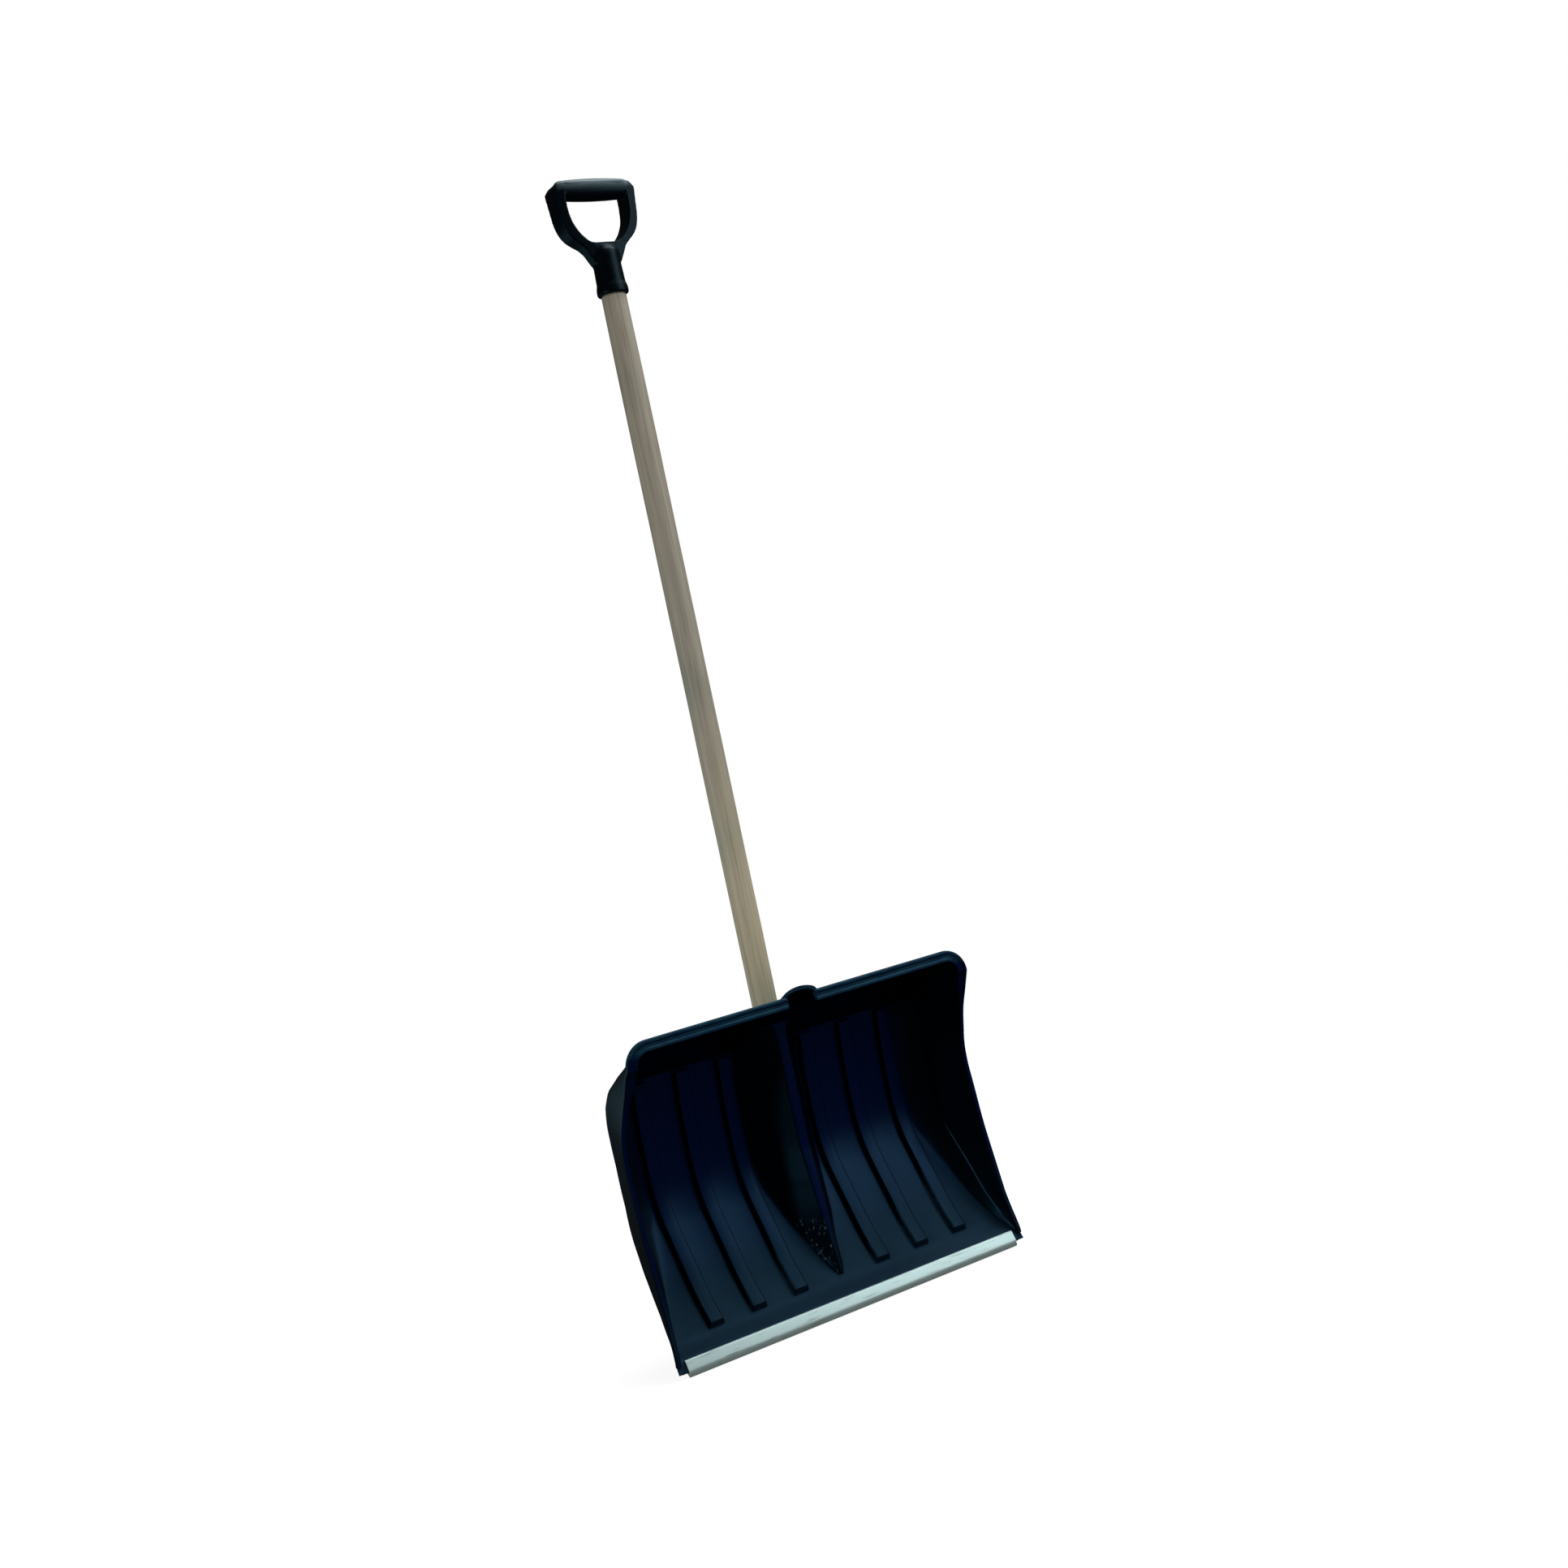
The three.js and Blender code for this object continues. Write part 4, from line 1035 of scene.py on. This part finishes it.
def blade_plastic():
    """Navy-black polypropylene, with painted light: paler grey-green towards the cutting edge, near
    black where the faces turn from the lights.
    """
    nodes = Nodes("blade_polypropylene")
    blotches = nodes.noise((18, 18, 9), 4, 0.6)
    streaks = nodes.noise((260, 60, 9), 5, 0.65)

    # Painted shade: the faces across the shovel are navy, and its sides and the hood's underside, which
    # turn away from the lights, are painted near black
    across = nodes.fade(nodes.math("ABSOLUTE", nodes.facing("X")), 0.4, 0.15)
    hood = nodes.fade(nodes.facing("Z"), -0.4, -0.7)
    lit_navy_share = nodes.product(across, nodes.math("SUBTRACT", 1.0, hood))
    navy = nodes.mix(blotches, (0.0000, 0.0010, 0.0330), (0.0001, 0.0034, 0.0520))
    color = nodes.mix(lit_navy_share, (0.0, 0.0012, 0.0040), navy)

    # Painted light: the lower part of the scoop, which faces up to the lights, is painted paler slate,
    # in streaks
    lower_light_streaks = nodes.ramp(streaks, [(0.42, 0), (0.75, 1)])
    lower_floor_light = nodes.product(nodes.fade_over("Z", LOWER_FLOOR_LIGHT_HEIGHTS), nodes.scaled(lower_light_streaks, 0.25, 0.75), across)
    slate = nodes.mix(blotches, (0.0030, 0.0100, 0.0175), (0.0062, 0.0160, 0.0250))
    color = nodes.mix(lower_floor_light, color, slate)

    # The rim's upright front is painted paler slate-blue, in mottled marks
    upright = nodes.fade(nodes.facing("Z"), -0.45, -0.15)
    rim = nodes.product(
        nodes.fade_over("Z", RIM_PALE_HEIGHTS), upright, nodes.fade_over("Y", RIM_PALE_DEPTHS),
    )
    pale_marks = nodes.ramp(nodes.noise((60, 60, 500), 4, 0.6), [(0.35, 0.35), (0.65, 1)])
    color = nodes.mix(nodes.product(rim, pale_marks), color, (0.0100, 0.0480, 0.0760))

    # Painted highlights: pale glints at the foot of the nose, on its left side
    nicks_and_glints = nodes.ramp(nodes.noise((260, 260, 150), 3, 0.6), [(0.60, 0), (0.66, 1)])
    left_side = nodes.fade(nodes.facing("X"), -0.35, -0.55)
    nose_foot = nodes.product(
        nodes.fade_from_middle(NOSE_GLINT_HALF_WIDTHS), nodes.fade_over("Z", NOSE_GLINT_HEIGHTS),
    )
    color = nodes.mix(nodes.product(nose_foot, left_side, nicks_and_glints), color, (0.100, 0.150, 0.160))

    roughness = nodes.math("ADD", nodes.scaled(streaks, 0.14, 0.27), nodes.product(lower_floor_light, 0.10))
    normal = nodes.bump(nodes.noise((1, 1, 1), 2, 0.5, size=900.0), 0.00006, 0.5)
    normal = nodes.bump(streaks, 0.00020, 0.5, normal)
    return nodes.finish(
        color, roughness, normal, Specular_IOR_Level=0.32, Specular_Tint=(0.18, 0.60, 1.0),
    )


def grip_plastic():
    """Blue-black polypropylene, with a painted highlight along the top of the bar."""
    nodes = Nodes("grip_polypropylene")
    blotches = nodes.noise((40, 40, 40), 3, 0.5)
    highlight_mottle = nodes.noise((70, 140, 140), 4, 0.6)
    skin = nodes.mix(blotches, (0.0000, 0.0004, 0.0022), (0.0004, 0.0014, 0.0048))
    # Painted highlight: the top of the hand bar is painted paler, where the overhead light shines on it
    pale = nodes.mix(highlight_mottle, (0.050, 0.070, 0.080), (0.105, 0.135, 0.145))
    painted_bar_highlight = nodes.product(
        nodes.fade_over("Z", BAR_HIGHLIGHT_HEIGHTS), nodes.fade_from_middle(BAR_HIGHLIGHT_HALF_WIDTHS), 0.9,
    )
    color = nodes.mix(painted_bar_highlight, skin, pale)
    roughness = nodes.scaled(highlight_mottle, 0.18, 0.30)
    normal = nodes.bump(nodes.noise((1, 1, 1), 2, 0.5, size=1100.0), 0.00008, 0.5)
    return nodes.finish(
        color, roughness, normal, Specular_IOR_Level=0.26, Specular_Tint=(0.40, 0.80, 1.0),
    )


def ash_wood():
    """Weathered ash: long dark pores, soft growth bands, a few grey-green stains."""
    nodes = Nodes("weathered_ash")
    bands = nodes.noise((75, 75, 1.6), 3, 0.55)
    pores = nodes.noise((520, 520, 11), 4, 0.7)
    stains = nodes.ramp(nodes.noise((16, 16, 7), 3, 0.5), [(0.48, 0), (0.68, 0.6)])
    warmth = nodes.ramp(nodes.noise((30, 30, 3.4), 2, 0.5), [(0.55, 0), (0.74, 0.35)])
    color = nodes.ramp(bands, [
        (0.30, (0.415, 0.358, 0.280)), (0.52, (0.535, 0.478, 0.390)), (0.72, (0.465, 0.408, 0.326)),
    ])
    color = nodes.mix(stains, color, (0.36, 0.365, 0.295))
    color = nodes.mix(warmth, color, (0.44, 0.325, 0.24))
    color = nodes.mix(nodes.fade_over("Z", PALE_WOOD_HEIGHTS), color, (1.45, 1.44, 1.24), "MULTIPLY")
    dark_lines = nodes.ramp(pores, [(0.30, (0.70, 0.68, 0.65)), (0.50, 1)])
    color = nodes.mix(1.0, color, dark_lines, "MULTIPLY")
    normal = nodes.bump(pores, 0.00018, 0.6)
    normal = nodes.bump(bands, 0.0004, 0.3, normal)
    return nodes.finish(color, nodes.scaled(pores, 0.2, 0.36), normal, Specular_IOR_Level=0.5)


def aluminium():
    """Extruded strip: die lines along its length, dull patches and fine scratches."""
    nodes = Nodes("extruded_aluminium")
    die_lines = nodes.noise((2.2, 900, 900), 3, 0.6)
    dull = nodes.noise((26, 60, 60), 4, 0.6)
    scratches = nodes.noise((30, 700, 240), 3, 0.5)
    color = nodes.mix(dull, (0.66, 0.87, 0.86), (0.80, 0.98, 0.97))
    nicks_and_glints = nodes.ramp(scratches, [(0.30, 0.72), (0.42, 1)])
    color = nodes.mix(1.0, color, nicks_and_glints, "MULTIPLY")
    normal = nodes.bump(die_lines, 0.00010, 0.4)
    normal = nodes.bump(scratches, 0.00008, 0.4, normal)
    return nodes.finish(color, nodes.scaled(dull, 0.14, 0.33), normal, metallic=0.65)


def zinc_steel():
    """Bright zinc plating with a mottled crystal pattern."""
    nodes = Nodes("zinc_plated_steel")
    mottle = nodes.noise((420, 420, 420), 3, 0.6)
    color = nodes.mix(mottle, (0.36, 0.37, 0.38), (0.62, 0.62, 0.60))
    normal = nodes.bump(mottle, 0.00005, 0.4)
    return nodes.finish(color, nodes.scaled(mottle, 0.25, 0.22), normal, metallic=0.9)


def pale_floor_material():
    """White paper that glows, so that it runs into the white background without an edge."""
    nodes = Nodes("pale_floor")
    speckle = nodes.noise((9, 9, 9), 3, 0.5)
    across, along = nodes.position("X"), nodes.position("Y")
    squares = nodes.math("ADD", nodes.product(across, across), nodes.product(along, along))
    far = nodes.fade(nodes.math("SQRT", squares), 0.35, 1.8)
    near_color = nodes.mix(speckle, (0.30, 0.30, 0.30), (0.31, 0.31, 0.31))
    color = nodes.mix(far, near_color, (0.0, 0.0, 0.0))
    glow = nodes.mix(far, (0.86, 0.86, 0.86), (1.0, 1.0, 1.0))
    nodes.feed(nodes.shader.inputs["Emission Color"], glow)
    nodes.feed(nodes.shader.inputs["Emission Strength"], 1.0)
    normal = nodes.bump(speckle, 0.0002, 0.1)
    return nodes.finish(color, nodes.scaled(speckle, 0.1, 0.7), normal, Specular_IOR_Level=0.0)


# ---------------------------------------------------------------- stage
def add_camera():
    """The camera stands in front of the shovel on its left, below the grip, and is tilted."""
    data = bpy.data.cameras.new("camera")
    data.sensor_width = SENSOR
    data.sensor_fit = "HORIZONTAL"
    data.lens = FOCAL_LENGTH
    data.clip_end = 50
    camera = new_object("camera", data)
    forward = CAMERA_FORWARD.normalized()
    right = (CAMERA_RIGHT - forward * CAMERA_RIGHT.dot(forward)).normalized()
    up = right.cross(forward)
    turn = Matrix((right, up, -forward)).transposed().to_4x4()
    camera.matrix_world = Matrix.Translation(to_row(CAMERA_PLACE)) @ turn
    bpy.context.scene.camera = camera


def add_lights():
    """Broad panels front right and overhead, a low one behind, a thin strip far left."""
    for name, (place, target, size, power, color) in LIGHTS.items():
        data = bpy.data.lights.new(name, "AREA")
        data.shape = "RECTANGLE"
        data.size, data.size_y = size
        data.energy = power
        data.color = color
        lamp = new_object(name, data)
        lamp.location = place
        direction = Vector(target) - Vector(place)
        lamp.rotation_euler = direction.to_track_quat("-Z", "Y").to_euler()
        lamp.visible_camera = False


def add_world():
    """White to the eye, a soft even fill on the shovel, and dark flags in its reflections."""
    world = bpy.data.worlds.new("studio")
    bpy.context.scene.world = world
    world.use_nodes = True
    tree = world.node_tree
    tree.nodes.clear()
    out = tree.nodes.new("ShaderNodeOutputWorld")
    path = tree.nodes.new("ShaderNodeLightPath")
    surface = None
    for ray, color, strength in (
        (None, (1.0, 0.97, 0.90, 1), 0.25),
        ("Is Glossy Ray", (0.85, 0.95, 1.0, 1), 0.02),
        ("Is Camera Ray", (1, 1, 1, 1), 1.0),
    ):
        background = tree.nodes.new("ShaderNodeBackground")
        background.inputs["Color"].default_value = color
        background.inputs["Strength"].default_value = strength
        if ray is None:
            surface = background.outputs[0]
            continue
        mix = tree.nodes.new("ShaderNodeMixShader")
        tree.links.new(path.outputs[ray], mix.inputs["Fac"])
        tree.links.new(surface, mix.inputs[1])
        tree.links.new(background.outputs[0], mix.inputs[2])
        surface = mix.outputs[0]
    tree.links.new(surface, out.inputs["Surface"])


def add_floor():
    """A wide pale floor just under the cutting edge."""
    low = (cad_box[0][2] - BASE) / MM - STUDIO_DROP
    corners = ((-1, -1), (1, -1), (1, 1), (-1, 1))
    points = [Vector((x * STUDIO_HALF_WIDTH, y * STUDIO_HALF_WIDTH, low)) for x, y in corners]
    floor = mesh_object("studio_floor", points, [(0, 1, 2, 3)])
    floor.data.materials.append(pale_floor_material())
    floor.visible_glossy = False
    floor.visible_diffuse = False


def set_view():
    """Colours go to the picture as they are, without a film look."""
    view = bpy.context.scene.view_settings
    view.view_transform = "Standard"
    view.look = "None"


# ---------------------------------------------------------------- assembly
def dress(piece, material, node):
    """Give a piece its material, hang it on the root body, and hide the frame's own part for its node.
    """
    piece.data.materials.clear()
    piece.data.materials.append(material)
    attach(piece, "root")
    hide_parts(node)


add_camera()
dress(make_blade(), blade_plastic(), "shovel_blade")
dress(make_strip(), aluminium(), "edge_wear_strip")
dress(make_handle(), ash_wood(), "wooden_handle")
dress(make_grip(), grip_plastic(), "d_grip")
screw_material = zinc_steel()
for node, screw in make_screws().items():
    dress(screw, screw_material, node)
add_world()
add_floor()
add_lights()
set_view()
